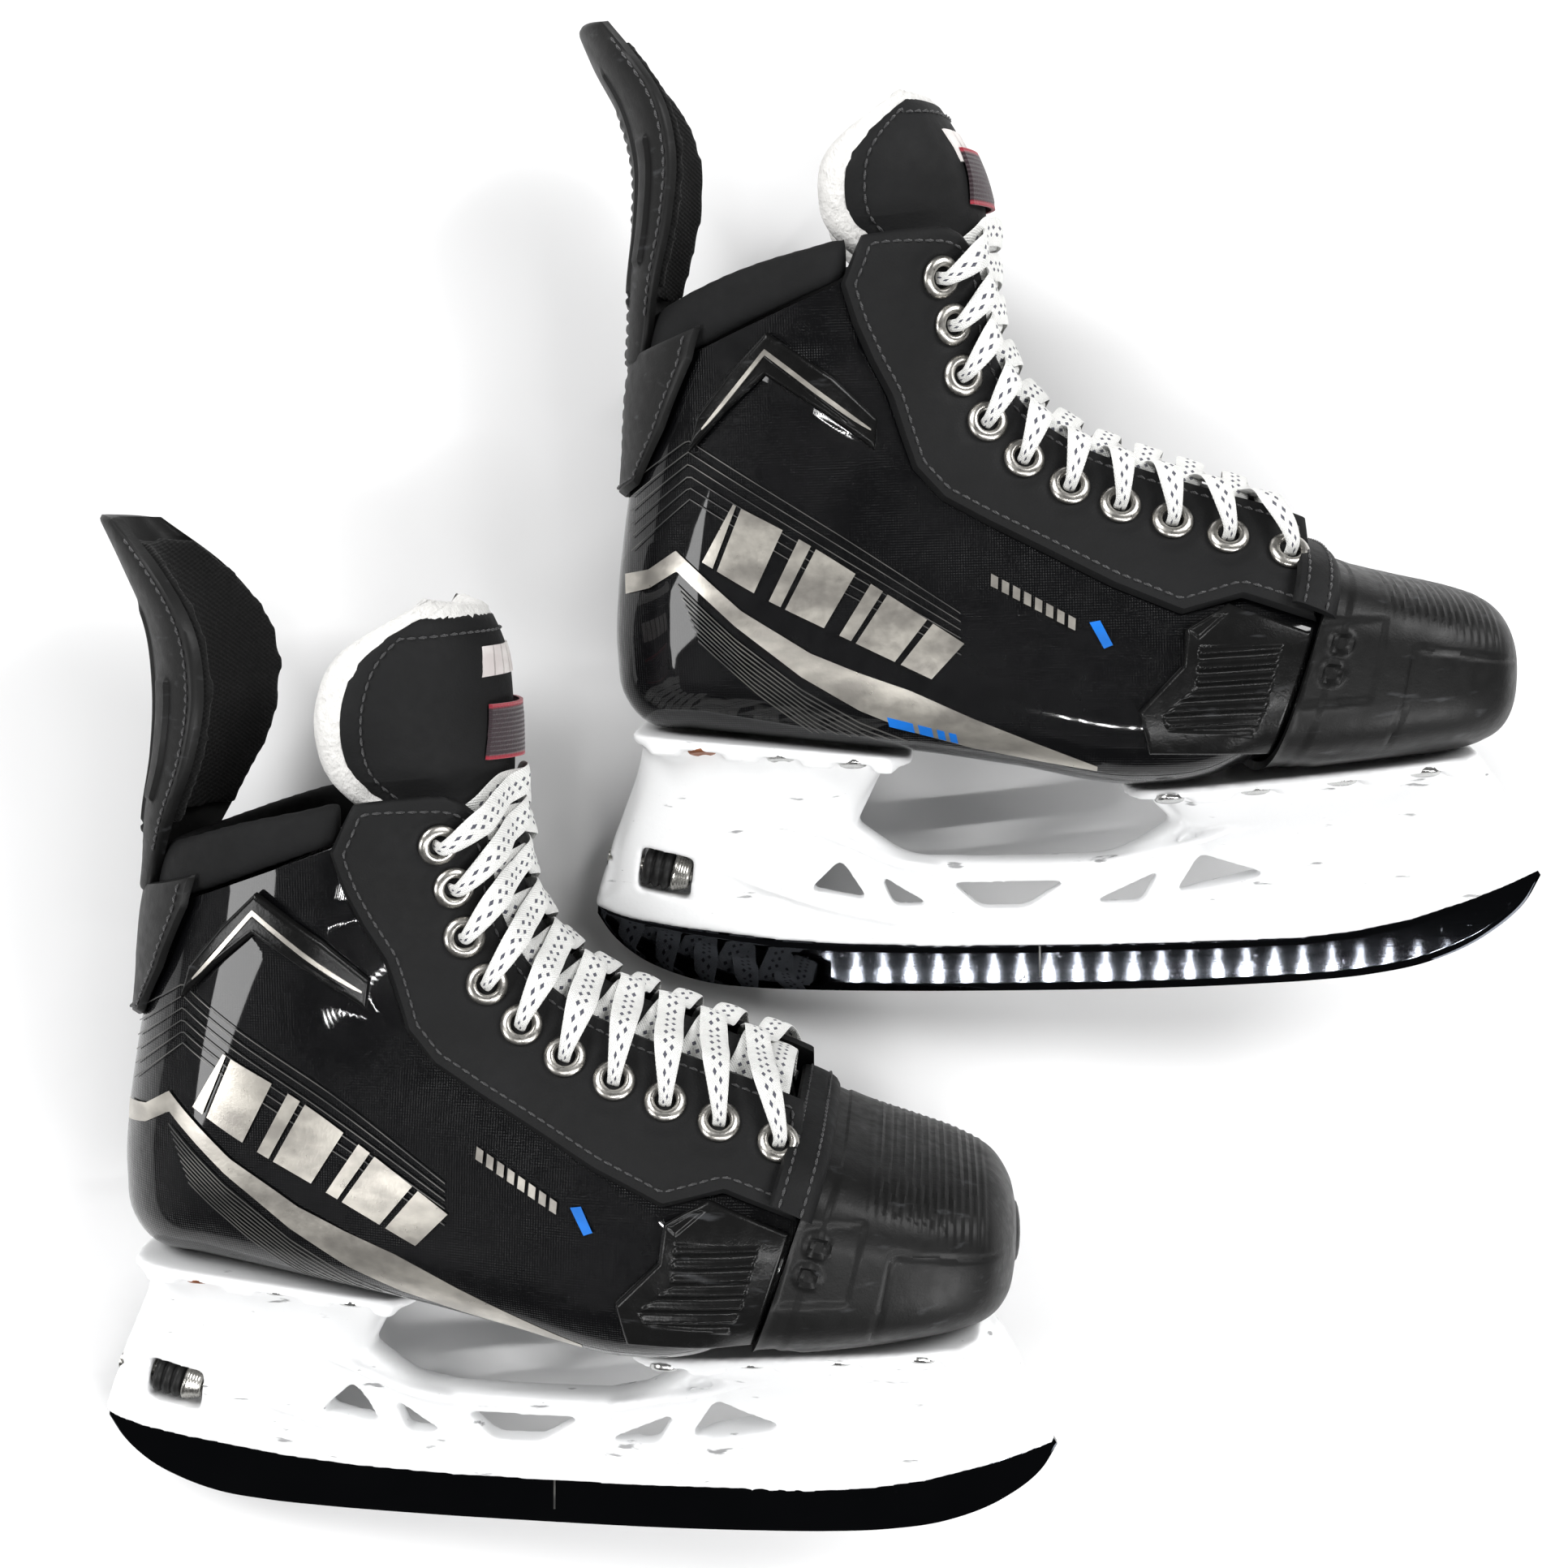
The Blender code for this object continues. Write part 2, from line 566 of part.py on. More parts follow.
def make_toe_cap(skate):
    outer, inner = [], []
    around = 20
    for k, ((xb, lift), (xt, zt), w) in enumerate(zip(CAP_BOTTOM, CAP_TOP, CAP_HALF_WIDTH)):
        foot, top = np.array([xb, ball_sole(xb) + lift]), np.array([xt, zt])
        inset = TOE_INSET * (k / (len(CAP_TOP) - 1)) ** 1.5
        for nest, shrink in ((outer, 0.0), (inner, TOE_CAP_WALL)):
            up = (top - foot) / np.linalg.norm(top - foot)
            centre, half = (foot + top) / 2, np.linalg.norm(top - foot) / 2 - shrink
            back = shrink * max(0.0, (xt - 258) / 26)
            loop = []
            for j in range(around):
                turn = 2 * math.pi * (j + 0.5) / around
                c, s = math.cos(turn), math.sin(turn)
                n = 2 / CAP_ROUNDNESS[k]
                side = math.copysign(abs(c) ** n, c) * (w - shrink)
                rise = math.copysign(abs(s) ** n, s) * half
                p = centre + up * rise
                loop.append((p[0] - back, side + inset, p[1]))
            nest.append(loop)
    skate.add_piece("toe_cap", cup(outer, inner), "rubber_black")


def eyelet_place(index, side):
    """Side-view place of an eyelet and the boot's outward direction there."""
    p = depth_point(EYELET_FIRST_ANGLE + EYELET_STEP_ANGLE * index, EYELET_INSET, side)
    return p, side_normal(p[0], p[2], side)


def make_facing(skate, side):
    rows = list(FACING_ROWS)
    rows.append((FACING_FRONT_ANGLE, (cap_edge(FACING_FRONT_FOOT_Z) - SEAM, FACING_FRONT_FOOT_Z)))
    columns = 3
    walls = []
    for offset in (OVERLAY_GAP, OVERLAY_GAP + OVERLAY_WALL):
        grid = []
        for angle, foot in rows:
            edge = ray_point(angle, throat_at(angle))
            edge_x = min(edge[0], cap_edge(edge[2]) - SEAM)
            places = [
                (edge_x + (foot[0] - edge_x) * k / columns, edge[2] + (foot[1] - edge[2]) * k / columns)
                for k in range(columns + 1)
            ]
            grid.append([lifted(x, z, side, offset) for x, z in places])
        walls.append(grid)
    name = SIDE_NAMES[side]
    facing = skate.add_piece("facing_" + name, skin(walls[1], walls[0]), "matte_black")
    holes = []
    for index in range(EYELETS):
        p, normal = eyelet_place(index, side)
        across = np.cross(normal, (0, 1, 0.2))
        across /= np.linalg.norm(across)
        holes.append(rod(p - 3 * normal, p + 6 * normal, EYELET_BARREL + 0.45, across, EYELET_SIDES))
    skate.combine(facing, "DIFFERENCE", joined(holes), "holes")


def make_eyelets(skate, side):
    """Ten eyelets set through one reinforcing tape, which lies behind the facing."""
    rings, links = [], []
    places = [eyelet_place(index, side) for index in range(EYELETS)]
    top = OVERLAY_GAP + OVERLAY_WALL + 3 * GAP
    for p, normal in places:
        across = np.cross(normal, (0, 1, 0.2))
        across /= np.linalg.norm(across)
        profile = [
            (-TAPE_WALL, EYELET_BARREL), (top, EYELET_BARREL), (top, EYELET_FLANGE),
            (top + EYELET_RIM, EYELET_BORE + 0.9),
        ]
        rings.append(turned(profile, EYELET_BORE, p, normal, across, EYELET_SIDES))
    for (p, n), (q, m) in zip(places, places[1:]):
        along = (q - p) / np.linalg.norm(q - p)
        start, end = p + along * 3.15, q - along * 3.15
        loops = []
        for end_point, normal in ((start, n), (end, m)):
            width = np.cross(normal, along) * TAPE_HALF_WIDTH * 0.6
            top_side, low_side = end_point - 0.05 * normal, end_point - (TAPE_WALL - 0.05) * normal
            loops.append([low_side - width, low_side + width, top_side + width, top_side - width])
        links.append(lofted(loops))
    obj = skate.add_piece("eyelets_" + SIDE_NAMES[side], joined(rings), "nickel")
    skate.combine(obj, "UNION", joined(links), "tape")


def make_panels(skate, side):
    name = SIDE_NAMES[side]
    columns = 3

    def panel(ends, low, high):
        walls = []
        for offset in (high, low):
            grid = []
            for (x0, z0), (x1, z1) in ends:
                shares = [k / columns for k in range(columns + 1)]
                grid.append([lifted(x0 + (x1 - x0) * s, z0 + (z1 - z0) * s, side, offset) for s in shares])
            walls.append(grid)
        return skin(*walls)

    vent = [(start, (cap_edge(z) - SEAM - 0.6, z)) for start, z in VENT_ROWS]
    skate.add_piece("vent_panel_" + name, panel(vent, OVERLAY_GAP, OVERLAY_GAP + OVERLAY_WALL), "rubber_black")
    skate.add_piece("ankle_badge_" + name, panel(BADGE_ROWS, OVERLAY_GAP, OVERLAY_GAP + OVERLAY_WALL), "gloss_black")


def make_collar(skate):
    rows = []
    for angle in COLLAR_ANGLES:
        front = (PIVOT[0] - COLLAR_FRONT_X) / math.cos(math.radians(angle))
        rows.append(section(angle, front - throat_at(angle)))
    walls = [offset_rows(rows, COLLAR_PROUD), offset_rows(rows, COLLAR_PROUD - COLLAR_WALL)]
    skate.add_piece("collar_pad", skin(*walls), "matte_black")


# ---------------------------------------------------------------- tongue and lace


def crown_at(angle):
    """Distance of the tongue's crown from the pivot: over the throat, and upright above it."""
    upright = (PIVOT[0] - TONGUE_FRONT_X) / math.cos(math.radians(angle)) if angle < 60 else math.inf
    return min(throat_at(angle) - TONGUE_CROWN, upright)


def tongue_profile(station, offset):
    """Points across the tongue's front face, lateral to medial, moved inwards by offset."""
    if isinstance(station, tuple):
        x, z, *sides = station
        half = [(x, 0.0, z)] + [(x - depth, y, z) for depth, y in sides]
    else:
        crown = ray_point(station, crown_at(station))
        half = [tuple(crown)]
        for depth in (0.0, *TONGUE_FAN_REACH):
            half.append(tuple(throat_lifted(station, depth, MEDIAL, TONGUE_SIDE_OFFSET)))
    points = np.array([(x, -y, z) for x, y, z in reversed(half[1:])] + half)
    tangents = np.gradient(points, axis=0)
    if isinstance(station, tuple):
        plane_normal = np.array([0, 0, 1.0])
    else:
        a = math.radians(station)
        plane_normal = np.array([-math.sin(a), 0, math.cos(a)])
    inwards = np.cross(plane_normal, tangents)
    inwards /= np.linalg.norm(inwards, axis=1, keepdims=True)
    middle = len(points) // 2
    if inwards[middle] @ (points[middle] - np.array([PIVOT[0], 0, PIVOT[1]])) < 0:
        inwards = -inwards
    return points + offset * inwards


def make_tongue(skate):
    top = TONGUE_TOP_STATIONS[skate.foot]
    split = (top[0][0], TONGUE_SPLIT_Z - TONGUE_SPLIT_GAP, *top[0][2:])
    lower = [*TONGUE_FAN_ANGLES, split]
    layers = (
        ("tongue_cover", 0.0, TONGUE_COVER_WALL, "matte_black"),
        ("tongue_felt", TONGUE_COVER_WALL + GAP, TONGUE_COVER_WALL + GAP + TONGUE_FELT_WALL, "felt"),
    )
    pivot = (TONGUE_PIVOT[0], 0, TONGUE_PIVOT[1])
    for name, front, back, finish in layers:
        for part, stations, origin in (("lower", lower, (0, 0, 0)), ("upper", top, pivot)):
            outer = [tongue_profile(s, front) for s in stations]
            inner = [tongue_profile(s, back) for s in stations]
            skate.add_piece(f"{name}_{part}", skin(outer, inner), finish, origin)
    make_tongue_loop(skate, pivot)


def make_tongue_loop(skate, pivot):
    """The elastic loop on the tongue's face that keeps the tongue centred under the lace."""
    walls = []
    stations = TONGUE_TOP_STATIONS[skate.foot]
    for offset in (GAP + LOOP_WALL, GAP):
        grid = []
        for z in (LOOP_BOTTOM_Z, stations[1][1], LOOP_TOP_Z):
            below, above = stations[:2] if z <= stations[1][1] else stations[1:3]
            s = (z - below[1]) / (above[1] - below[1])
            crown = below[0] + (above[0] - below[0]) * s
            depth = below[2][0] + (above[2][0] - below[2][0]) * s
            width = below[2][1] + (above[2][1] - below[2][1]) * s
            reach = LOOP_HALF_WIDTH / width
            grid.append(
                [(crown - depth * abs(k) * reach + offset * 1.6, k * LOOP_HALF_WIDTH, z) for k in (-1, 0, 1)]
            )
        walls.append(grid)
    skate.add_piece("tongue_loop", skin(*walls), "loop_red", pivot)


def lace_stations():
    """The lace's middle line as (point, along-throat direction, width, thickness)."""
    stations = []

    def angle_of(index):
        return EYELET_FIRST_ANGLE + EYELET_STEP_ANGLE * index

    def along_throat(angle):
        direction = ray_point(angle + 1, crown_at(angle + 1)) - ray_point(angle - 1, crown_at(angle - 1))
        return direction / np.linalg.norm(direction)

    def flat(p, angle):
        stations.append((p, along_throat(angle), LACE_WIDTH, LACE_THICKNESS))

    def bunched(p, angle):
        stations.append((p, along_throat(angle), LACE_BUNCHED_WIDTH, LACE_BUNCHED_THICKNESS))

    def bridge_point(angle, y, height):
        """A point over the tongue's front face."""
        edge = throat_lifted(angle, 0.0, MEDIAL, TONGUE_SIDE_OFFSET)
        fall = math.hypot(PIVOT[0] - edge[0], PIVOT[1] - edge[2]) - crown_at(angle)
        return ray_point(angle, crown_at(angle) + fall * abs(y) / edge[1] - height, y)

    def through_hole(index, side, upwards):
        p, normal = eyelet_place(index, side)
        offsets = (LACE_HOLE_IN, LACE_HOLE_OUT) if upwards else (LACE_HOLE_OUT, LACE_HOLE_IN)
        for offset in offsets:
            bunched(p + offset * normal, angle_of(index))

    def strand(index, side, to_index):
        """From the top of one eyelet over the tongue, and under the facing to another."""
        start, end = angle_of(index), angle_of(to_index)
        step = end - start
        over = side == LATERAL
        near, far = start + 0.25 * step, start + 0.75 * step
        flat(throat_lifted(near, 0, side, LACE_OVER), near)
        height = LACE_BRIDGE_OVER if over else LACE_BRIDGE_UNDER
        flat(bridge_point(start + 0.38 * step, side * 11, height + 0.6), start + 0.38 * step)
        flat(bridge_point(start + 0.5 * step, 0, height), start + 0.5 * step)
        flat(bridge_point(start + 0.62 * step, -side * 11, height), start + 0.62 * step)
        flat(throat_lifted(far, 0, -side, LACE_UNDER), far)

    def run_up(side):
        index = EYELETS - 1
        while index > 0:
            strand(index, side, index - 1)
            side, index = -side, index - 1
            through_hole(index, side, True)
        tucked = angle_of(0) - 4.0
        near = angle_of(0) - 1.5
        flat(throat_lifted(near, 0, side, LACE_OVER), near)
        height = LACE_BRIDGE_OVER if side == LATERAL else LACE_BRIDGE_UNDER
        flat(bridge_point(angle_of(0) - 2.5, side * 11, height + 0.6), near)
        flat(bridge_point(angle_of(0) - 3.0, 0, height), near)
        flat(bridge_point(tucked, -side * 11, height), tucked)
        flat(throat_lifted(angle_of(0) - 1, 0, -side, LACE_UNDER), tucked)
        flat(throat_lifted(angle_of(0), LACE_TUCK, -side, LACE_UNDER), tucked)

    last = EYELETS - 1
    run_up(LATERAL)
    stations.reverse()
    p, normal = eyelet_place(last, LATERAL)
    bunched(p + LACE_HOLE_OUT * normal, angle_of(last))
    bunched(p + LACE_HOLE_IN * normal, angle_of(last))
    flat(throat_lifted(angle_of(last), 0, LATERAL, LACE_UNDER), angle_of(last))
    flat(bridge_point(angle_of(last), 0, 0.9), angle_of(last))
    flat(throat_lifted(angle_of(last), 0, MEDIAL, LACE_UNDER), angle_of(last))
    through_hole(last, MEDIAL, True)
    run_up(MEDIAL)
    return stations


def make_lace(skate):
    stations = lace_stations()
    points = np.array([s[0] for s in stations])
    tangents = np.gradient(points, axis=0)
    tangents /= np.linalg.norm(tangents, axis=1, keepdims=True)
    loops, last = [], None
    for (p, along, width, thickness), tangent in zip(stations, tangents):
        across = along - (along @ tangent) * tangent
        across /= np.linalg.norm(across)
        if last is not None and across @ last < 0:
            across = -across
        last = across
        normal = np.cross(tangent, across)
        a, b = across * width / 2, normal * thickness / 2
        loops.append([p - a - b, p + a - b, p + a + b, p - a + b])
    skate.add_piece("lace", lofted(loops), "lace_white", round_piece=False)


# ---------------------------------------------------------------- tendon guard


def guard_profile(station, offset):
    """Points round the guard from its lateral wing to its medial one, moved inwards by offset."""
    back, z, depth, half = station
    turns = np.radians([-78, -52, -26, 0, 26, 52, 78])
    return [
        (
            back + offset + (depth - offset * 0.4) * (1 - math.cos(a)) / (1 - math.cos(turns[-1])),
            (half - offset) * math.sin(a) / math.sin(turns[-1]),
            z,
        )
        for a in turns
    ]


def make_tendon_guard(skate):
    pivot = (GUARD_PIVOT[0], 0, GUARD_PIVOT[1])
    stations = GUARD_STATIONS[skate.foot]
    walls = [[guard_profile(s, offset) for s in stations] for offset in (0, GUARD_WALL)]
    skate.add_piece("tendon_guard", skin(*walls), "rubber_black", pivot)
    pads = stations[GUARD_PAD_STATIONS]
    inside = GUARD_WALL + 2 * GAP
    walls = [[guard_profile(s, offset) for s in pads] for offset in (inside, inside + GUARD_PAD_WALL)]
    skate.add_piece("tendon_guard_pad", skin(*walls), "lining", pivot)

    rows = []
    for angle, reach in zip(ANCHOR_ANGLES, ANCHOR_REACH):
        length = outline_at(angle) - throat_at(angle)
        shares = [1 - (reach / length) * (1 - k / 4) ** 2 for k in range(5)]
        lateral = [depth_point(angle, t * length, LATERAL) for t in shares[:-1]]
        medial = [depth_point(angle, t * length, MEDIAL) for t in reversed(shares[:-1])]
        rows.append(lateral + [ray_point(angle, outline_at(angle))] + medial)
    walls = [offset_rows(rows, distance) for distance in (ANCHOR_GAP + ANCHOR_WALL, ANCHOR_GAP)]
    skate.add_piece("tendon_guard_anchor", skin(*walls), "rubber_black")


# ---------------------------------------------------------------- holder, runner and lock


def lock_point(along, up=0.0, y=0.0):
    """A point on the lock's axis, or above it."""
    c, s = math.cos(LOCK_TILT), math.sin(LOCK_TILT)
    return np.array([LOCK_CENTRE[0] + along * c + up * s, y, LOCK_CENTRE[1] - along * s + up * c])


LOCK_AXIS = lock_point(1) - lock_point(0)
LOCK_UP = lock_point(0, 1) - lock_point(0)


def tower_loop(z, x0, x1, half):
    """A rounded loop for a tower, at a height or on a sole line given as a function."""
    corner = min(half * 0.8, 12.0)
    height = z if callable(z) else (lambda x: z)
    plan = [
        (x0, -0.4), (x0 + corner, -1), (x1 - corner, -1), (x1, -0.4),
        (x1, 0.4), (x1 - corner, 1), (x0 + corner, 1), (x0, 0.4),
    ]
    return [(x, s * half, height(x)) for x, s in plan]


def flange(x0, x1, half, sole):
    corner = FLANGE_CORNER
    plan = [
        (x0, -half + corner), (x0 + corner, -half), (x1 - corner, -half), (x1, -half + corner),
        (x1, half - corner), (x1 - corner, half), (x0 + corner, half), (x0, half - corner),
    ]
    return lofted(
        [[(x, y, sole(x) - FLANGE_GAP - drop) for x, y in plan] for drop in (FLANGE_WALL, 0.0)]
    )


def lip_at(x):
    return np.interp(x, [p[0] for p in LIP], [p[1] for p in LIP])


def tang_outline(grow):
    """The runner's upper edge inside the holder, with its two hooks, grown by a clearance."""
    inner = [x for x, _ in LIP if TANG_FROM_X + 3 < x < TANG_TO_X - 3]
    points = [(TANG_FROM_X - grow, lip_at(TANG_FROM_X) + TANG + grow)]
    for x in inner:
        points.append((x, lip_at(x) + TANG + grow))
    points.append((TANG_TO_X + grow, lip_at(TANG_TO_X) + TANG + grow))
    for x0, x1, top in (REAR_HOOK, FRONT_HOOK):
        low, high = x0 - grow, x1 + grow
        points = [p for p in points if not low - 1 <= p[0] <= high + 1]
        hook = [
            (low, lip_at(low) + TANG + grow), (low, top + grow),
            (high, top + grow), (high, lip_at(high) + TANG + grow),
        ]
        points = sorted(points + hook, key=lambda p: p[0])
    return points


def make_holder(skate):
    heel_under = [(x, heel_sole(x) - FLANGE_GAP - 0.5 * FLANGE_WALL) for x in (96, 20)]
    ball_under = [(x, ball_sole(x) - FLANGE_GAP - 0.5 * FLANGE_WALL) for x in (270, 176)]
    web = LIP + HOLDER_FRONT + ball_under + BRIDGE_TOP + heel_under + HOLDER_BACK
    holder = skate.add_piece("holder", plate(web, HOLDER_HALF_WEB), "holder_white")

    def heel_top(x):
        return heel_sole(x) - FLANGE_GAP - 0.6 * FLANGE_WALL

    def ball_top(x):
        return ball_sole(x) - FLANGE_GAP - 0.6 * FLANGE_WALL

    rear = [tower_loop(*s) for s in REAR_TOWER] + [tower_loop(heel_top, *REAR_TOWER_TOP)]
    front = [tower_loop(*s) for s in FRONT_TOWER] + [tower_loop(ball_top, *FRONT_TOWER_TOP)]
    skate.combine(holder, "UNION", joined([lofted(rear), lofted(front)]), "towers")
    flanges = [flange(*REAR_FLANGE, heel_sole), flange(*FRONT_FLANGE, ball_sole)]
    skate.combine(holder, "UNION", joined(flanges), "flanges")

    holes = [plate(hole, 40) for hole in TRUSS_HOLES] + [plate(WINDOW, 40)]
    skate.combine(holder, "DIFFERENCE", joined(holes), "openings")
    slot = tang_outline(SLOT_CLEARANCE)
    slot = slot + [(slot[-1][0], -5.0), (slot[0][0], -5.0)]
    skate.combine(holder, "DIFFERENCE", plate(slot, TANG_HALF_WALL + SLOT_CLEARANCE), "slot")
    bore = rod(lock_point(-30), lock_point(LOCK_ROD_TO + 1.2), LOCK_BORE, LOCK_UP, 8)
    skate.combine(holder, "DIFFERENCE", bore, "lock_bore")


def make_runner(skate):
    """The steel runner: its exposed faces stand a little proud of the tang that the holder grips."""
    shoulder = [x for x, _ in LIP if TANG_FROM_X < x < TANG_TO_X]
    upper = [0.6, LIP[1][0], *shoulder, LIP[-2][0], 294.5]
    exposed = [(x, lip_at(x) - LIP_GAP) for x in upper] + RUNNER_EDGE[::-1]
    runner = skate.add_piece("runner", plate(exposed, RUNNER_HALF_WALL), "steel", round_piece=False)
    tang = tang_outline(0.0)
    root = [(x, lip_at(x) - LIP_GAP - TANG_ROOT) for x in (TANG_TO_X, *shoulder[::-1], TANG_FROM_X)]
    skate.combine(runner, "UNION", plate(tang + root, TANG_HALF_WALL), "tang")


def make_lock(skate):
    centre = tuple(lock_point(0))
    bolt = rod(lock_point(LOCK_ROD_FROM), lock_point(LOCK_ROD_TO), LOCK_ROD, LOCK_UP, 8)
    skate.add_piece("lock_bolt", bolt, "nickel", centre)
    wheel = turned(LOCK_WHEEL, LOCK_ROD + 0.4, centre, LOCK_AXIS, LOCK_UP, 12)
    skate.add_piece("lock_wheel", wheel, "nickel", centre)
    grip = turned(LOCK_GRIP, LOCK_WHEEL[0][1] + GAP, centre, LOCK_AXIS, LOCK_UP, 8)
    skate.add_piece("lock_grip", grip, "rubber_black", centre)


# ---------------------------------------------------------------- the pair


def make_skate(foot):
    skate = Skate(foot)
    make_shell_and_liner(skate)
    make_insole(skate)
    make_toe_cap(skate)
    for side in (LATERAL, MEDIAL):
        make_facing(skate, side)
        make_eyelets(skate, side)
        make_panels(skate, side)
    make_collar(skate)
    make_tongue(skate)
    make_lace(skate)
    make_tendon_guard(skate)
    make_holder(skate)
    make_runner(skate)
    make_lock(skate)
    return skate


def make_pair():
    """Both skates as they lie, with the middle of the pair's box over the origin."""
    skates = {foot: make_skate(foot) for foot in ("left", "right")}
    for foot, skate in skates.items():
        skate.lay(**LAID[foot])
    low, high = lowest_and_highest([obj for skate in skates.values() for obj in skate.pieces])
    for skate in skates.values():
        skate.frame.location -= Vector(((low.x + high.x) / 2, (low.y + high.y) / 2, 0))
    bpy.context.view_layer.update()
    return skates


for obj in list(bpy.data.objects):
    bpy.data.objects.remove(obj)
PAIR = make_pair()
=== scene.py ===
import itertools
import math

import bmesh
import bpy
import numpy as np
from mathutils import Matrix, Vector


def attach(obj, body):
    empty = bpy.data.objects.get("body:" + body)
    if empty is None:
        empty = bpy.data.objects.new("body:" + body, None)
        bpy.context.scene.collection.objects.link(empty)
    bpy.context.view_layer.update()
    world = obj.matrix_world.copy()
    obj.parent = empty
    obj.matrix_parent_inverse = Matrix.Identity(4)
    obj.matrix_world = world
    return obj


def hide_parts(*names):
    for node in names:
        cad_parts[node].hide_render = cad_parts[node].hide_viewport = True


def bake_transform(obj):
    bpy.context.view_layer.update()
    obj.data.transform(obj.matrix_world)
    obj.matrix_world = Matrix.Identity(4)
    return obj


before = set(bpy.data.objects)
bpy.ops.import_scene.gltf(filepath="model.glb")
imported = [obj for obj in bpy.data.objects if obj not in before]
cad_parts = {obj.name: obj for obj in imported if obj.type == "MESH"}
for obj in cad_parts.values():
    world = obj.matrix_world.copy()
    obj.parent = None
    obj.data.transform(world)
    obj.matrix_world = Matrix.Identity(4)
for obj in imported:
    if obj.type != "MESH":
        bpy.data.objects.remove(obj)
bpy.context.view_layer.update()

# The looks of a pair of ice hockey skates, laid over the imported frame.  Each skate is drawn in its own
# frame, in millimetres: +X to the toe, +Y to the medial side, +Z up, x = 0 at the runner's rear tip and
# z = 0 on the ice.  place() then lays it on its side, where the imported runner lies.

MM = 0.001
LATERAL, MEDIAL = -1, 1
SIDES = {LATERAL: "lateral", MEDIAL: "medial"}
# How each skate lies: turned in plan, rolled towards the runner and yawed so that the toe rises, in degrees
LAID = {"left": (2.9, 9.8, 10.0), "right": (-0.5, 8.6, 9.0)}
RUNNER_START_X = 0.3
RUNNER_MIDDLE = (137.0, 0.0, 0.0)
CAMERA_FROM_RUNNER, CAMERA_HEIGHT, CAMERA_TILT, CAMERA_LENS = (-129.9, 62.6), 0.6078, (0.3, -5.19), 42.13
# Name: place, target, size, power
LIGHTS = {
    "north_west": ((-1.1, 1.0, 1.3), (0, 0, 0), (0.9, 0.9), 27),
    "north_east": ((1.1, 0.8, 1.1), (0, 0, 0), (0.7, 0.7), 17),
    "south_east": ((1.0, -1.1, 1.0), (0, 0, 0), (0.7, 0.5), 13),
    "south_west": ((-1.5, -0.5, 1.1), (0, 0, 0), (0.6, 0.6), 12),
    "sheen": ((0.42, 0.5, 0.95), (0.05, 0, 0.05), (0.05, 0.5), 1.6),
}
WORLD_STRENGTH = 0.1
# Glints: first x, last x and step along the runner; each band's lowest z, highest z, width's share, power
GLINT_SPAN, GLINT_HEIGHT, GLINT_WIDTH = (48.0, 292.0, 8.8), 0.75, 0.006
GLINT_BANDS = ((-2.0, 13.0, 0.5, 0.03), (2.4, 7.2, 1.0, 0.05))

# ---------------------------------------------------------------- the boot's surface, as in the frame

SHELL_WALL, LINER_GAP, LINER_WALL = 3.0, 1.2, 3.0
OVERLAY_GAP, OVERLAY_WALL, SEAM = 1.0, 2.0, 1.0
OVERLAY_TOP = OVERLAY_GAP + OVERLAY_WALL + 0.35
PIVOT = np.array([200.0, 262.0])


def heel_sole(x):
    return 88.8 - 0.105 * (x - 20.0)


def ball_sole(x):
    return 69.3 + 0.087 * (x - 166.0)


TOE_STEP = 3.2
OUTLINE = [
    (29, 217), (22, 195), (19, 172), (15, 150), (12, 130), (11, 111), (13, 99),
    (23, heel_sole(23)), (34, heel_sole(34)), (47, heel_sole(47)), (60, heel_sole(60)),
    (82, heel_sole(82)), (103, heel_sole(103)), (132, 75.8), (168, ball_sole(168)), (190, ball_sole(190)),
    (201, ball_sole(201) + TOE_STEP), (215, ball_sole(215) + TOE_STEP), (237, ball_sole(237) + TOE_STEP),
]
THROAT = [
    (92, 233), (116, 232), (122, 228), (125, 220), (129, 198), (137, 183), (153, 170),
    (169, 163), (192, 155), (215, 147), (226, 142),
]
WIDTH_ANGLES = [14, 20, 28, 45, 60, 75, 88, 94, 102]
THROAT_HALF_WIDTH = [38, 30, 22, 20, 21, 22, 23, 24, 24]
HALF_WIDTHS = {
    LATERAL: [40, 40, 39, 37, 42, 48, 50, 48, 46.5],
    MEDIAL: [40, 40, 39, 36, 39, 44, 48.5, 48, 46.5],
}
WIDEST_AT = [0.35, 0.38, 0.42, 0.5, 0.5, 0.54, 0.56, 0.56, 0.56]
ROUNDNESS = [2.1, 2.1, 2.2, 2.6, 3.6, 4.0, 3.6, 3.2, 3.0]
CAP_FOOT_X, CAP_TOP_X, CAP_TOP_Z = 204.0, 223.5, 137.5


def unit(v):
    return v / np.maximum(np.linalg.norm(v, axis=-1, keepdims=True), 1e-9)


def hermite(s, width, first, last, first_slope, last_slope):
    """A cubic from first to last over an interval, at a share s of it."""
    return (
        first * (1 + 2 * s) * (1 - s) ** 2
        + last * s * s * (3 - 2 * s)
        + width * s * (1 - s) * (first_slope * (1 - s) - last_slope * s)
    )


def smooth(xs, ys):
    """A cubic curve through the points (xs, ys), as a function of x."""
    xs, ys = np.asarray(xs, float), np.asarray(ys, float)
    slopes = np.gradient(ys, xs)

    def curve(x):
        x = np.clip(x, xs[0], xs[-1])
        i = np.clip(np.searchsorted(xs, x) - 1, 0, len(xs) - 2)
        width = xs[i + 1] - xs[i]
        return hermite((x - xs[i]) / width, width, ys[i], ys[i + 1], slopes[i], slopes[i + 1])

    return curve


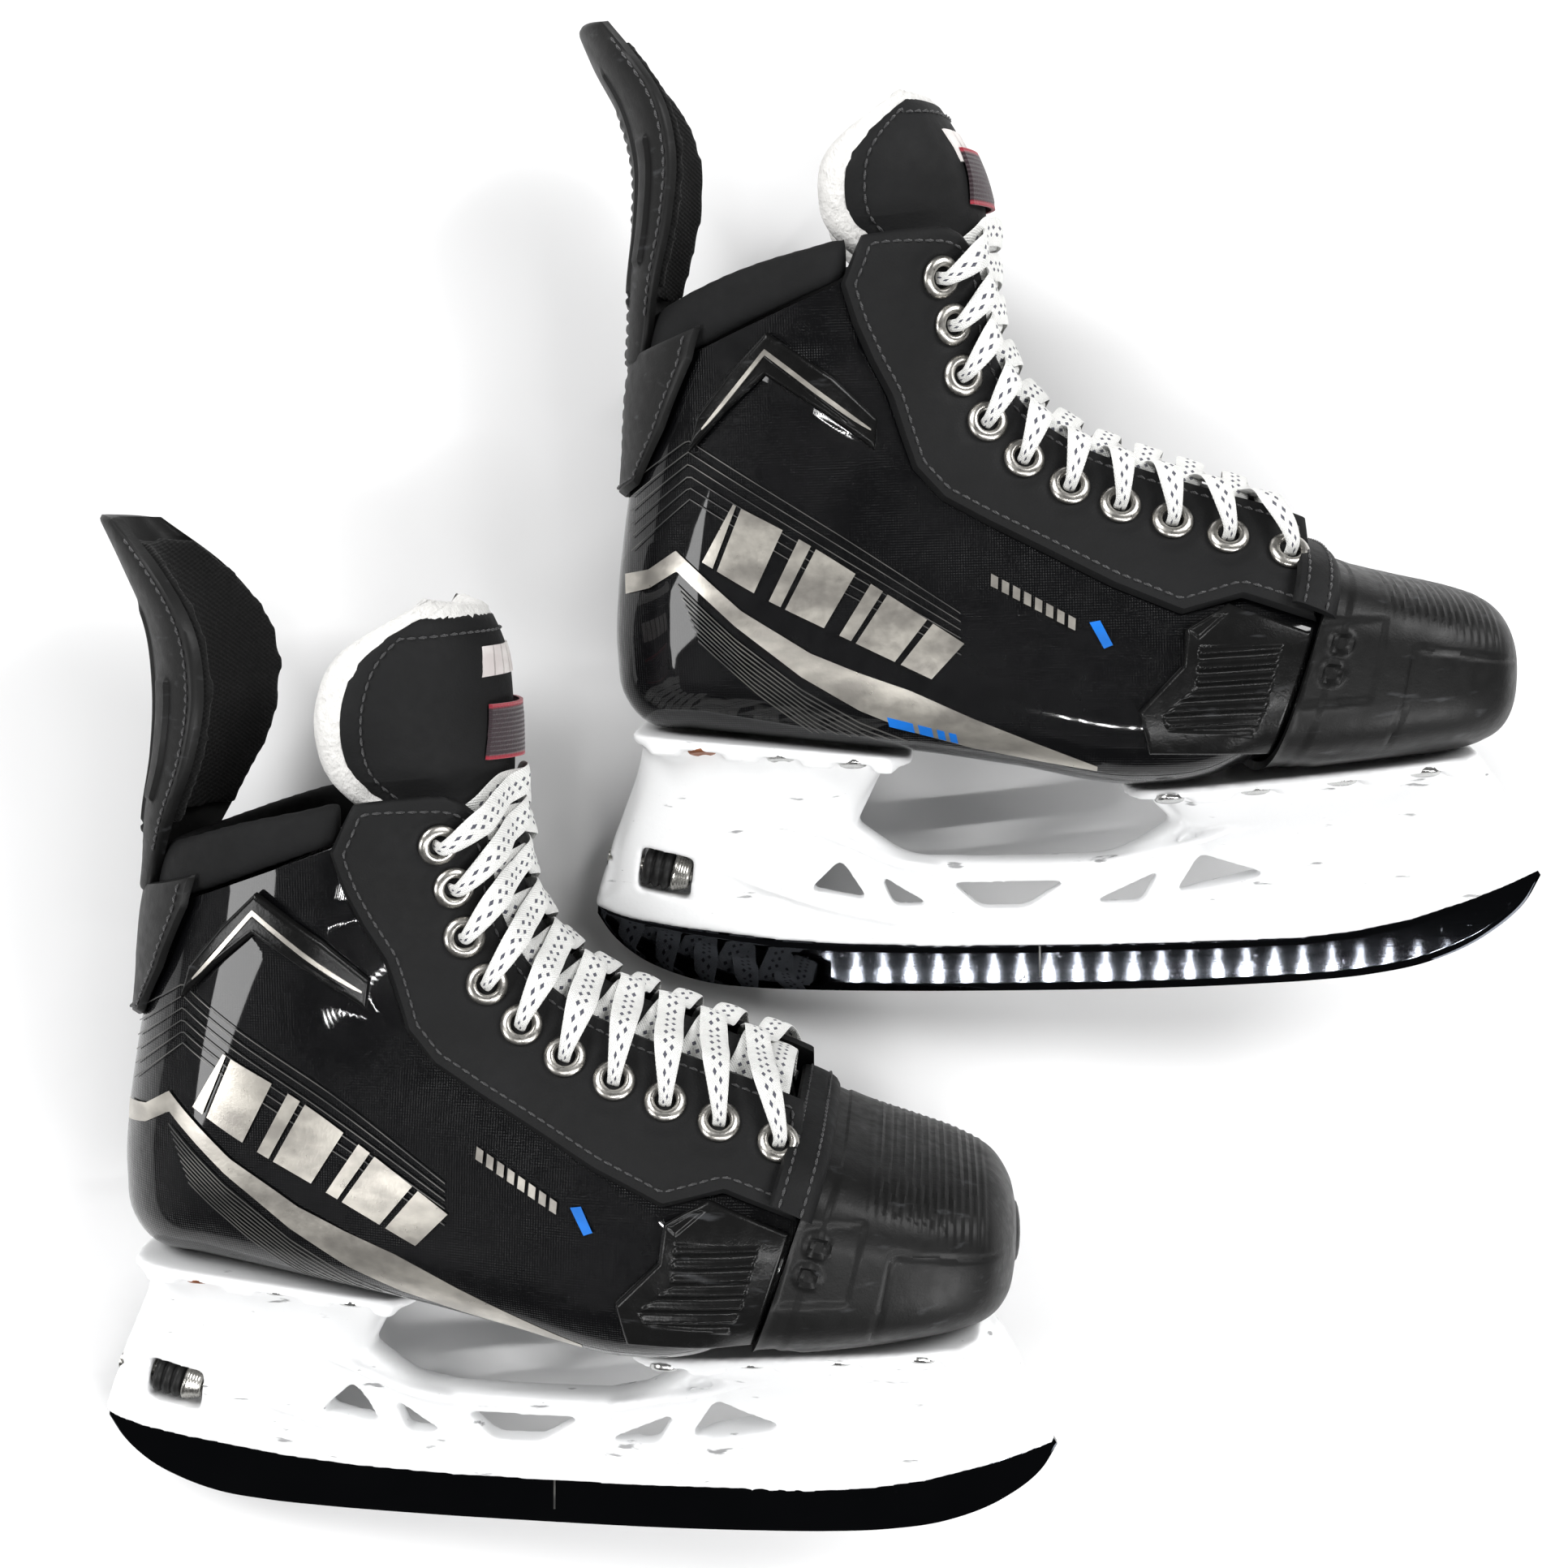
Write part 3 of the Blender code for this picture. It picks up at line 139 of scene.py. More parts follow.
def polar(points):
    """Side-view points as a curve of distance from the pivot against the angle below it."""
    p = PIVOT - np.asarray(points, float)
    return smooth(np.degrees(np.arctan2(p[:, 1], p[:, 0])), np.hypot(p[:, 0], p[:, 1]))


outline_at = polar(OUTLINE)
throat_at = polar(THROAT)
throat_half_width = smooth(WIDTH_ANGLES, THROAT_HALF_WIDTH)
half_width_at = {side: smooth(WIDTH_ANGLES, widths) for side, widths in HALF_WIDTHS.items()}
widest_at = smooth(WIDTH_ANGLES, WIDEST_AT)
roundness_at = smooth(WIDTH_ANGLES, ROUNDNESS)


def cap_edge(z):
    """Where the toe cap's rear edge stands in side view at a height."""
    foot_z = ball_sole(CAP_FOOT_X)
    return CAP_FOOT_X + (z - foot_z) / (CAP_TOP_Z - foot_z) * (CAP_TOP_X - CAP_FOOT_X)


def half_width(angle, share, side):
    """Half width of the boot at a share of the way from the throat to the outline."""
    most, edge, widest = half_width_at[side](angle), throat_half_width(angle), widest_at(angle)
    n = roundness_at(angle)
    upper = edge + (most - edge) * np.sin(math.pi / 2 * np.clip(share / widest, -0.2, 1))
    lower = most * np.maximum(0, 1 - np.clip((share - widest) / (1 - widest), 0, 1) ** n) ** (1 / n)
    return np.where(share < widest, upper, lower)


def ray_point(angle, r, y=0.0):
    a, r, y = np.broadcast_arrays(np.radians(angle), np.asarray(r, float), y)
    return np.stack([PIVOT[0] - r * np.cos(a), y, PIVOT[1] - r * np.sin(a)], -1)


def depth_point(angle, depth, side):
    """The boot's surface at a distance behind the throat, along a ray from the pivot."""
    length = outline_at(angle) - throat_at(angle)
    return ray_point(angle, throat_at(angle) + depth, side * half_width(angle, depth / length, side))


def side_point(x, z, side):
    """The boot's surface at a place in side view."""
    dx, dz = PIVOT[0] - np.asarray(x, float), PIVOT[1] - np.asarray(z, float)
    angle = np.degrees(np.arctan2(dz, dx))
    return depth_point(angle, np.hypot(dx, dz) - throat_at(angle), side)


def side_normal(x, z, side):
    nudge = 0.5
    across = side_point(x + nudge, z, side) - side_point(x - nudge, z, side)
    up = side_point(x, z + nudge, side) - side_point(x, z - nudge, side)
    normal = unit(np.cross(across, up))
    return normal * np.where(normal[..., 1:2] * side > 0, 1, -1)


def lifted(x, z, side, offset):
    """Points that stand off the boot's surface by offset."""
    return side_point(x, z, side) + np.asarray(offset, float)[..., None] * side_normal(x, z, side)


def throat_lifted(angle, depth, side, offset):
    p = depth_point(angle, depth, side)
    return p + offset * side_normal(p[..., 0], p[..., 2], side)


# ---------------------------------------------------------------- lines, grids and meshes


def run_along(line):
    """How far along a line each of its points lies."""
    return np.concatenate([[0], np.cumsum(np.linalg.norm(np.diff(line, axis=0), axis=1))])


def read_off(at, run, line):
    """The points of a line at other distances along it."""
    line = np.asarray(line, float)
    return np.stack([np.interp(at, run, line[:, k]) for k in range(line.shape[1])], -1)


def even(line, count):
    """A line of points as count points, evenly spaced along it."""
    run = run_along(line)
    return read_off(np.linspace(0, run[-1], count), run, line)


def spline(points, count):
    """A smooth line through points, as count points."""
    points = np.asarray(points, float)
    run = run_along(points)
    at = np.linspace(0, run[-1], count)
    return np.stack([smooth(run, points[:, k])(at) for k in range(points.shape[1])], -1)


def between(first, second, count):
    """A grid of points from one line to another."""
    share = np.linspace(0, 1, count)[None, :, None]
    return first[:, None] * (1 - share) + second[:, None] * share


def section_grid(angles, from_throat, count):
    """The boot's surface at each angle, as even rows of points from throat to throat under the foot."""
    rows = []
    for angle in angles:
        length = outline_at(angle) - throat_at(angle)
        widest, n = widest_at(angle), roundness_at(angle)
        start = from_throat(angle) if callable(from_throat) else from_throat
        upper = np.linspace(start / length, widest, 40, endpoint=False)
        lower = widest + (1 - widest) * np.sin(np.linspace(0, math.pi / 2, 90)) ** (2 / n)
        share = np.concatenate([upper, lower])
        lateral, medial = (depth_point(angle + 0 * share, share * length, side) for side in (LATERAL, MEDIAL))
        rows.append(even(np.concatenate([lateral, medial[-2::-1]]), count))
    return np.array(rows)


def grid_normals(grid, closed=False):
    """Outward normals of a grid of points; closed says that its columns join up."""
    if closed:
        along = np.roll(grid, -1, axis=1) - np.roll(grid, 1, axis=1)
    else:
        along = np.gradient(grid, axis=1)
    normals = unit(np.cross(along, np.gradient(grid, axis=0)))
    outwards = grid - grid.mean(axis=1, keepdims=True)
    return normals * np.sign((normals * outwards).sum())


def quads(index):
    return np.stack([index[:-1, :-1], index[1:, :-1], index[1:, 1:], index[:-1, 1:]], -1).reshape(-1, 4)


def slab(outer, inner):
    """The closed wall between two grids of points."""
    rows, columns = outer.shape[:2]
    index = np.arange(rows * columns).reshape(rows, columns)
    rim = np.concatenate([index[0], index[1:, -1], index[-1, -2::-1], index[-2:0:-1, 0]])
    ahead = np.roll(rim, -1)
    below = index.size
    edge = np.stack([rim, ahead, ahead + below, rim + below], -1)
    faces = np.concatenate([quads(index), quads(index + below)[:, ::-1], edge])
    return np.concatenate([outer.reshape(-1, 3), inner.reshape(-1, 3)]), [tuple(f) for f in faces.tolist()]


def tube(loops, ends=True):
    """A closed solid through loops of points, or an open one without its ends."""
    loops = np.asarray(loops, float)
    rows, columns = loops.shape[:2]
    index = np.arange(rows * columns).reshape(rows, columns)
    wrapped = np.concatenate([index, index[:, :1]], axis=1)
    faces = [tuple(f) for f in quads(wrapped).tolist()]
    if ends:
        faces += [tuple(index[0].tolist()), tuple(index[-1, ::-1].tolist())]
    return loops.reshape(-1, 3), faces


def lathe(profile, sides, origin, axis, across):
    """A profile of (along, radius) turned round an axis; a closed profile gives a ring."""
    origin, axis, across = np.asarray(origin, float), unit(np.asarray(axis, float)), np.asarray(across, float)
    across = unit(across - (across @ axis) * axis)
    other = np.cross(axis, across)
    c, s = circle(sides)
    out = c[:, None] * across + s[:, None] * other
    return np.array([origin + axis * along + out * radius for along, radius in profile])


def ring(profile, sides, origin, axis, across):
    """A ring whose profile closes on itself."""
    loops = lathe([*profile, profile[0]], sides, origin, axis, across)
    rows, columns = loops.shape[:2]
    index = np.arange((rows - 1) * columns).reshape(rows - 1, columns)
    index = np.concatenate([index, index[:1]])
    index = np.concatenate([index, index[:, :1]], axis=1)
    return loops[:-1].reshape(-1, 3), [tuple(f) for f in quads(index).tolist()]


def rod(points, radius, sides=10, flat=1.0):
    """A rounded bar along a line of points; flat scales it across the skate."""
    points = np.asarray(points, float)
    radius = np.broadcast_to(radius, len(points))
    tangents = unit(np.gradient(points, axis=0))
    side = np.array([0.0, 1.0, 0.0])
    c, s = circle(sides)
    loops = []
    for p, t, r in zip(points, tangents, radius):
        a = unit(side - (side @ t) * t)
        b = np.cross(t, a)
        loops.append(p + c[:, None] * a * r * flat + s[:, None] * b * r)
    return tube(loops)


def extruded(outline, half_wall):
    """A side-view outline carried to both sides of the middle plane."""
    return tube([[(x, s * half_wall, z) for x, z in outline] for s in (-1, 1)])


def merged(parts):
    """Several (points, faces) as one."""
    points, faces, start = [], [], 0
    for part_points, part_faces in parts:
        points.append(np.asarray(part_points, float))
        faces += [tuple(i + start for i in face) for face in part_faces]
        start += len(part_points)
    return np.concatenate(points), faces


def edge_distance(x, z, outline):
    """Distance of side-view places from an outline, negative outside it."""
    outline = np.asarray(outline, float)
    inside = np.zeros(x.shape, bool)
    nearest = np.full(x.shape, np.inf)
    for (x0, z0), (x1, z1) in zip(outline, np.roll(outline, -1, axis=0)):
        ex, ez = x1 - x0, z1 - z0
        share = np.clip(((x - x0) * ex + (z - z0) * ez) / (ex * ex + ez * ez), 0, 1)
        nearest = np.minimum(nearest, np.hypot(x - x0 - share * ex, z - z0 - share * ez))
        crossed = (z0 > z) != (z1 > z)
        with np.errstate(divide="ignore", invalid="ignore"):
            inside ^= crossed & (x < ex * (z - z0) / ez + x0)
    return np.where(inside, nearest, -nearest)


def boxed(value, exponent):
    """A sine or cosine to a power below 1, which makes a rounded box of a circle."""
    return np.sign(value) * np.abs(value) ** exponent


def rounding(distance, radius):
    """A quarter circle's height, from 0 at an edge to 1 at radius from it."""
    return np.sqrt(1 - (1 - np.clip(distance / radius, 0, 1)) ** 2)


def circle(count):
    """Cosines and sines of count turns."""
    turns = np.linspace(0, 2 * math.pi, count, endpoint=False)
    return np.cos(turns), np.sin(turns)


def step(value, low, high):
    """0 below low, 1 above high, smooth between."""
    s = np.clip((value - low) / (high - low), 0, 1)
    return s * s * (3 - 2 * s)


def rim_distance(grid):
    """Distance of each point of a grid from the grid's rim."""
    rim = np.concatenate([grid[0], grid[-1], grid[:, 0], grid[:, -1]])
    return np.array([np.linalg.norm(row[:, None] - rim[None], axis=-1).min(axis=1) for row in grid])


# ---------------------------------------------------------------- finishes


class Paint:
    """A material's nodes.  Every piece carries "spot", its place in the skate's frame in millimetres."""

    def __init__(self, name, colour, roughness, **sockets):
        self.material = bpy.data.materials.new(name)
        self.material.use_nodes = True
        self.tree = self.material.node_tree
        self.shader = self.tree.nodes["Principled BSDF"]
        self.feed(self.shader.inputs["Base Color"], (*colour, 1))
        self.feed(self.shader.inputs["Roughness"], roughness)
        for socket, value in sockets.items():
            self.feed(self.shader.inputs[socket.replace("_", " ")], value)
        self.spot = self.attribute("spot")
        self.x, self.y, self.z = self.node("ShaderNodeSeparateXYZ", self.spot).outputs

    def feed(self, socket, value):
        if isinstance(value, bpy.types.NodeSocket):
            self.tree.links.new(value, socket)
        elif value is not None:
            socket.default_value = value

    def node(self, kind, *values, **settings):
        made = self.tree.nodes.new(kind)
        for key, value in settings.items():
            setattr(made, key, value)
        for socket, value in zip(made.inputs, values):
            self.feed(socket, value)
        return made

    def attribute(self, name):
        return self.node("ShaderNodeAttribute", attribute_name=name).outputs["Vector"]

    def math(self, operation, a, b=0.0, c=0.0):
        return self.node("ShaderNodeMath", a, b, c, operation=operation).outputs[0]

    def noise(self, scale, detail=2.0, stretch=(1, 1, 1), turn=0.0):
        spot = self.node("ShaderNodeMapping", self.spot, (0, 0, 0), (0, turn, 0), stretch).outputs[0]
        made = self.node("ShaderNodeTexNoise")
        for socket, value in (("Vector", spot), ("Scale", scale), ("Detail", detail)):
            self.feed(made.inputs[socket], value)
        return made.outputs["Fac"]

    def cells(self, scale):
        made = self.node("ShaderNodeTexVoronoi")
        self.feed(made.inputs["Vector"], self.spot)
        self.feed(made.inputs["Scale"], scale)
        return made.outputs["Distance"]

    def wave(self, value, pitch, shift=0.0):
        """A sine of a length, from -1 to 1, that repeats at pitch."""
        return self.math("SINE", self.math("MULTIPLY_ADD", value, 2 * math.pi / pitch, shift))

    def ramp(self, value, low, high):
        made = self.node("ShaderNodeMapRange", value, low, high, 0.0, 1.0, interpolation_type="SMOOTHSTEP")
        return made.outputs[0]

    def mix(self, share, a, b):
        made = self.node("ShaderNodeMix", data_type="RGBA")
        for socket, value in ((0, share), (6, a), (7, b)):
            value = (*value, 1) if isinstance(value, tuple) else value
            self.feed(made.inputs[socket], value)
        return made.outputs[2]

    def span(self, share, low, high):
        """A number between low and high."""
        return self.node("ShaderNodeMapRange", share, 0.0, 1.0, low, high).outputs[0]

    def colour(self, value):
        self.feed(self.shader.inputs["Base Color"], value)

    def roughness(self, value):
        self.feed(self.shader.inputs["Roughness"], value)

    def bump(self, *layers):
        """Layers of (height from 0 to 1, depth in millimetres)."""
        normal = None
        for height, depth in layers:
            made = self.node("ShaderNodeBump")
            made.inputs["Strength"].default_value = 1.0
            made.inputs["Distance"].default_value = depth * MM
            self.feed(made.inputs["Height"], height)
            self.feed(made.inputs["Normal"], normal)
            normal = made.outputs[0]
        self.feed(self.shader.inputs["Normal"], normal)


def shell_composite():
    coat = {"Coat_Weight": 0.6, "Coat_Roughness": 0.04}
    p = Paint("shell_composite", (0.004, 0.004, 0.005), 0.2, Specular_IOR_Level=0.08, **coat)
    rising, falling = (p.wave(p.math(way, p.x, p.z), 1.5) for way in ("ADD", "SUBTRACT"))
    weave = p.math("MULTIPLY", rising, falling)
    worn = p.ramp(p.noise(0.09, 4), 0.45, 0.7)
    p.colour(p.mix(p.noise(0.03, 3), (0.0012, 0.0013, 0.0016), (0.004, 0.004, 0.0045)))
    p.roughness(p.span(worn, 0.13, 0.3))
    p.bump((p.noise(0.12, 2), 0.5), (p.noise(0.55, 3), 0.1), (weave, 0.05), (p.noise(2.5, 2), 0.02))
    return p.material


def soft_black(name, grain, shade=0.009, roughness=0.62):
    p = Paint(name, (shade,) * 3, roughness, Specular_IOR_Level=0.16)
    p.colour(p.mix(p.noise(0.05, 4), (shade * 0.7,) * 3, (shade * 1.35, shade * 1.38, shade * 1.45)))
    p.roughness(p.span(p.noise(0.3, 4), roughness - 0.12, roughness + 0.12))
    p.bump((p.cells(grain), 0.05), (p.noise(grain * 2.2, 3), 0.05), (p.noise(0.08, 2), 0.4))
    return p.material


def knitted_black(name, pitch, shade=0.014):
    p = Paint(name, (shade,) * 3, 0.85, Sheen_Weight=0.08, Specular_IOR_Level=0.2)
    weave = p.math("MULTIPLY", p.wave(p.x, pitch), p.wave(p.z, pitch))
    p.colour(p.mix(p.noise(0.6, 4), (shade * 0.5,) * 3, (shade * 1.8,) * 3))
    p.bump((weave, 0.12), (p.noise(1.2, 4), 0.25))
    return p.material


def moulded_black(name, shade=0.013, roughness=0.38):
    p = Paint(name, (shade,) * 3, roughness, Specular_IOR_Level=0.2, Coat_Weight=0.04, Coat_Roughness=0.2)
    scuffs = p.ramp(p.noise(0.22, 6, (0.35, 1, 1.6), 0.5), 0.6, 0.78)
    p.colour(p.mix(scuffs, (shade,) * 3, (0.035, 0.036, 0.038)))
    p.roughness(p.span(p.noise(0.25, 5), roughness - 0.1, roughness + 0.2))
    p.bump((p.noise(1.6, 4), 0.05), (p.noise(0.15, 3), 0.2))
    return p.material


def felt_white():
    p = Paint("felt_white", (0.78, 0.77, 0.74), 0.95, Sheen_Weight=0.3)
    tufts = p.noise(0.5, 6)
    p.colour(p.mix(tufts, (0.6, 0.59, 0.57), (0.9, 0.89, 0.87)))
    p.bump((tufts, 0.8), (p.noise(2.0, 5, (1, 1, 0.4)), 0.4))
    return p.material


def lace_cotton():
    p = Paint("lace_cotton", (0.85, 0.85, 0.83), 0.9, Sheen_Weight=0.2)
    along, across, _ = p.node("ShaderNodeSeparateXYZ", p.attribute("weave")).outputs
    dashes = []
    for row, shift in ((-0.24, 0.0), (0.24, 0.5)):
        turn = p.math("FRACT", p.math("MULTIPLY_ADD", along, 1 / 4.4, shift + 100))
        reach = p.math("DIVIDE", p.math("ABSOLUTE", p.math("SUBTRACT", turn, 0.5)), 0.26)
        height = p.math("DIVIDE", p.math("ABSOLUTE", p.math("SUBTRACT", across, row)), 0.17)
        dashes.append(p.math("LESS_THAN", p.math("ADD", reach, height), 1.0))
    ink = p.math("MULTIPLY", p.math("MAXIMUM", *dashes), 0.92)
    cotton = p.mix(p.noise(0.35, 4), (0.74, 0.74, 0.72), (0.92, 0.92, 0.9))
    p.colour(p.mix(ink, cotton, (0.012, 0.014, 0.045)))
    rows = p.math("MULTIPLY", p.wave(along, 1.1), p.wave(across, 0.22))
    p.bump((rows, 0.14), (p.noise(2.2, 4), 0.12))
    return p.material


def metal(name, colour, roughness, grain=0.0):
    p = Paint(name, colour, roughness, Metallic=1.0)
    p.colour(p.mix(p.noise(0.5, 5), tuple(c * 0.65 for c in colour), colour))
    p.roughness(p.span(p.noise(0.9, 4), roughness * 0.6, roughness * 1.6))
    p.bump((p.noise(1.5, 3), 0.03 + grain))
    return p.material


def black_steel():
    p = Paint("runner_steel", (0.03, 0.032, 0.035), 0.03, Metallic=1.0)
    p.colour(p.mix(p.noise(0.04, 3), (0.022, 0.024, 0.028), (0.035, 0.037, 0.042)))
    drag = p.noise(0.9, 5, (0.03, 1, 2.5))
    marks = p.ramp(p.noise(0.35, 6, (1, 1, 1)), 0.63, 0.8)
    p.roughness(p.span(p.math("MAXIMUM", marks, p.math("MULTIPLY", drag, 0.12)), 0.02, 0.2))
    p.bump((drag, 0.0015), (p.noise(0.12, 2), 0.006))
    return p.material


def holder_nylon():
    p = Paint("holder_nylon", (0.84, 0.845, 0.85), 0.33, Coat_Weight=0.15)
    scuffs = p.ramp(p.noise(0.12, 8, (0.5, 1, 2.2), 0.35), 0.66, 0.72)
    edge_dirt = p.ramp(p.noise(0.9, 5, (0.3, 1, 1.5), -0.3), 0.72, 0.8)
    marks = p.math("MULTIPLY", p.math("MAXIMUM", scuffs, edge_dirt), 0.75)
    clean = p.mix(p.noise(0.03, 2), (0.86, 0.865, 0.87), (0.93, 0.935, 0.94))
    p.colour(p.mix(marks, clean, (0.12, 0.12, 0.125)))
    p.roughness(p.span(p.noise(0.2, 4), 0.24, 0.46))
    p.bump((p.noise(0.25, 3), 0.12), (p.noise(1.4, 4), 0.02))
    return p.material


def foil(name, light, dark, roughness, metallic):
    p = Paint(name, light, roughness, Metallic=metallic)
    p.colour(p.mix(p.ramp(p.noise(0.05, 5, (1, 1, 2), 0.6), 0.35, 0.65), dark, light))
    p.roughness(p.span(p.noise(0.4, 4), roughness * 0.7, roughness * 1.4))
    p.bump((p.noise(1.2, 2), 0.02))
    return p.material


def thread_black():
    p = Paint("thread_black", (0.02, 0.02, 0.022), 0.6, Sheen_Weight=0.3)
    p.colour(p.mix(p.noise(0.8, 3), (0.008, 0.008, 0.009), (0.035, 0.035, 0.037)))
    p.bump((p.wave(p.math("ADD", p.x, p.z), 0.5), 0.08), (p.noise(3, 2), 0.03))
    return p.material


LOOP_MIDDLE_Z, LOOP_HALF_HEIGHT, LOOP_HALF_WIDTH, LOOP_WALL = 248.5, 8.0, 15.0, 1.1


def loop_elastic():
    p = Paint("loop_elastic", (0.03, 0.004, 0.01), 0.85, Sheen_Weight=0.4)
    border = p.ramp(p.math("ABSOLUTE", p.math("SUBTRACT", p.z, LOOP_MIDDLE_Z)), 6.4, 7.4)
    woven = p.mix(p.noise(1.0, 3), (0.01, 0.004, 0.007), (0.035, 0.01, 0.018))
    p.colour(p.mix(border, woven, (0.35, 0.01, 0.03)))
    p.bump((p.wave(p.z, 1.3), 0.25), (p.noise(2.0, 3), 0.15))
    return p.material


def floor_white():
    p = Paint("floor_white", (0.86, 0.86, 0.86), 0.5)
    made = p.node("ShaderNodeTexNoise")
    p.feed(made.inputs["Vector"], p.node("ShaderNodeTexCoord").outputs["Object"])
    p.feed(made.inputs["Scale"], 3.0)
    p.colour(p.mix(made.outputs["Fac"], (0.83, 0.83, 0.835), (0.88, 0.88, 0.88)))
    return p.material


# Finish: material, slot in the frame
PAINT = {
    "shell": (shell_composite(), "shell_composite"),
    "liner": (knitted_black("liner_fabric", 1.2), "liner_fabric"),
    "insole": (knitted_black("insole_foam", 2.0, 0.02), "insole_foam"),
    "cap": (moulded_black("toe_cap_plastic", 0.006, 0.4), "toe_cap_plastic"),
    "facing": (soft_black("facing_synthetic", 1.5, 0.008), "facing_synthetic"),
    "eyelet": (metal("eyelet_nickel", (0.62, 0.6, 0.56), 0.28), "eyelet_nickel"),
    "vent": (moulded_black("vent_plastic", 0.006, 0.2), "vent_plastic"),
    "badge": (moulded_black("badge_plastic", 0.005, 0.2), "badge_plastic"),
    "collar": (soft_black("collar_padding", 2.2, 0.009, 0.75), "collar_padding"),
    "tongue": (soft_black("tongue_synthetic", 1.3, 0.009, 0.66), "tongue_synthetic"),
    "felt": (felt_white(), "felt_white"),
    "loop": (loop_elastic(), "loop_elastic"),
    "lace": (lace_cotton(), "lace_cotton"),
    "guard": (moulded_black("guard_rubber", 0.008, 0.45), "guard_rubber"),
    "guard_pad": (knitted_black("guard_pad_felt", 1.4, 0.005), "guard_rubber"),
    "holder": (holder_nylon(), "holder_nylon"),
    "runner": (black_steel(), "runner_steel"),
    "lock": (metal("lock_steel", (0.5, 0.49, 0.46), 0.25, 0.02), "lock_steel"),
    "grip": (moulded_black("grip_rubber", 0.012, 0.45), "grip_rubber"),
    "rivet": (metal("rivet_steel", (0.7, 0.7, 0.69), 0.22), "eyelet_nickel"),
    "copper": (metal("rivet_copper", (0.42, 0.17, 0.09), 0.4), "eyelet_nickel"),
    "silver": (foil("print_silver", (0.62, 0.59, 0.53), (0.36, 0.34, 0.31), 0.3, 0.75), "shell_composite"),
    "pinstripe": (foil("print_lines", (0.12, 0.118, 0.112), (0.05,) * 3, 0.35, 0.5), "shell_composite"),
    "blue": (foil("print_blue", (0.005, 0.16, 0.62), (0.005, 0.12, 0.46), 0.35, 0.0), "shell_composite"),
    "white": (foil("print_white", (0.75, 0.72, 0.7), (0.6, 0.55, 0.54), 0.6, 0.0), "tongue_synthetic"),
    "thread": (thread_black(), "facing_synthetic"),
}

# ---------------------------------------------------------------- one skate


def added(name, data):
    obj = bpy.data.objects.new(name, data)
    bpy.context.scene.collection.objects.link(obj)
    return obj


def applied(obj):
    """Gives an object the mesh that its modifiers make."""
    graph = bpy.context.evaluated_depsgraph_get()
    made = bpy.data.meshes.new_from_object(obj.evaluated_get(graph))
    obj.modifiers.clear()
    obj.data = made
    return obj


def remeshed(obj, voxel, smoothing=0):
    """Gives an object an even mesh of small voxels, softened by rounds of smoothing."""
    remesh = obj.modifiers.new("even", "REMESH")
    remesh.mode, remesh.voxel_size = "VOXEL", voxel * MM
    if smoothing:
        soften = obj.modifiers.new("soften", "SMOOTH")
        soften.factor, soften.iterations = 0.6, smoothing
    return applied(obj)


def coordinates(obj):
    found = np.empty(len(obj.data.vertices) * 3)
    obj.data.vertices.foreach_get("co", found)
    return found.reshape(-1, 3)


class Skate:
    """One skate where it lies.  Pieces are drawn for the right foot, and mirrored for the left."""

    def __init__(self, foot):
        self.foot = foot
        self.mirror = np.array([1.0, -1.0 if foot == "left" else 1.0, 1.0])
        turn, roll, yaw = LAID[foot]
        turned = Matrix.Identity(3)
        for angle, axis in ((turn, "Z"), (roll, "X"), (-yaw, "Y"), (-90, "X")):
            turned = turned @ Matrix.Rotation(math.radians(angle), 3, axis)
        self.turned = np.array(turned)
        steel = coordinates(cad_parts[foot + "_runner"]) @ self.turned
        low, high = steel.min(axis=0), steel.max(axis=0)
        corner = np.array([low[0] - RUNNER_START_X * MM, (low[1] + high[1]) / 2, low[2]])
        self.origin = self.turned @ corner

    def place(self, points):
        return (np.asarray(points, float) * self.mirror * MM) @ self.turned.T + self.origin

    def marked(self, obj):
        """Stores each vertex's place in the skate's frame, which the materials read."""
        local = (coordinates(obj) - self.origin) @ self.turned * self.mirror / MM
        spots = obj.data.attributes.get("spot") or obj.data.attributes.new("spot", "FLOAT_VECTOR", "POINT")
        spots.data.foreach_set("vector", local.ravel())
        return obj

    def mesh(self, name, part):
        points, faces = part
        data = bpy.data.meshes.new(f"{self.foot}_{name}")
        data.from_pydata(self.place(points).tolist(), [], faces)
        built = bmesh.new()
        built.from_mesh(data)
        bmesh.ops.recalc_face_normals(built, faces=built.faces)
        built.to_mesh(data)
        built.free()
        return added(f"{self.foot}_{name}", data)

    def dress(self, obj, finish, sharp=38):
        paint, slot = PAINT[finish]
        obj.data.materials.clear()
        obj.data.materials.append(paint)
        obj.data.shade_smooth()
        obj.data.set_sharp_from_angle(angle=math.radians(sharp))
        return self.marked(obj)

    def ride(self, obj, body, nodes):
        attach(obj, f"{self.foot}_{body}")
        if nodes:
            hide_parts(*(f"{self.foot}_{node}" for node in nodes))
        return obj

    def bend(self, obj, body, start, end, nodes=()):
        """Bakes a piece's place into its mesh and hides the frame's parts that it stands for; body, start and
        end are not used.
        """
        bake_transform(obj)
        if nodes:
            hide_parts(*(f"{self.foot}_{node}" for node in nodes))

    def piece(self, name, part, finish, body="boot", nodes=(), sharp=38):
        return self.ride(self.dress(self.mesh(name, part), finish, sharp), body, nodes)


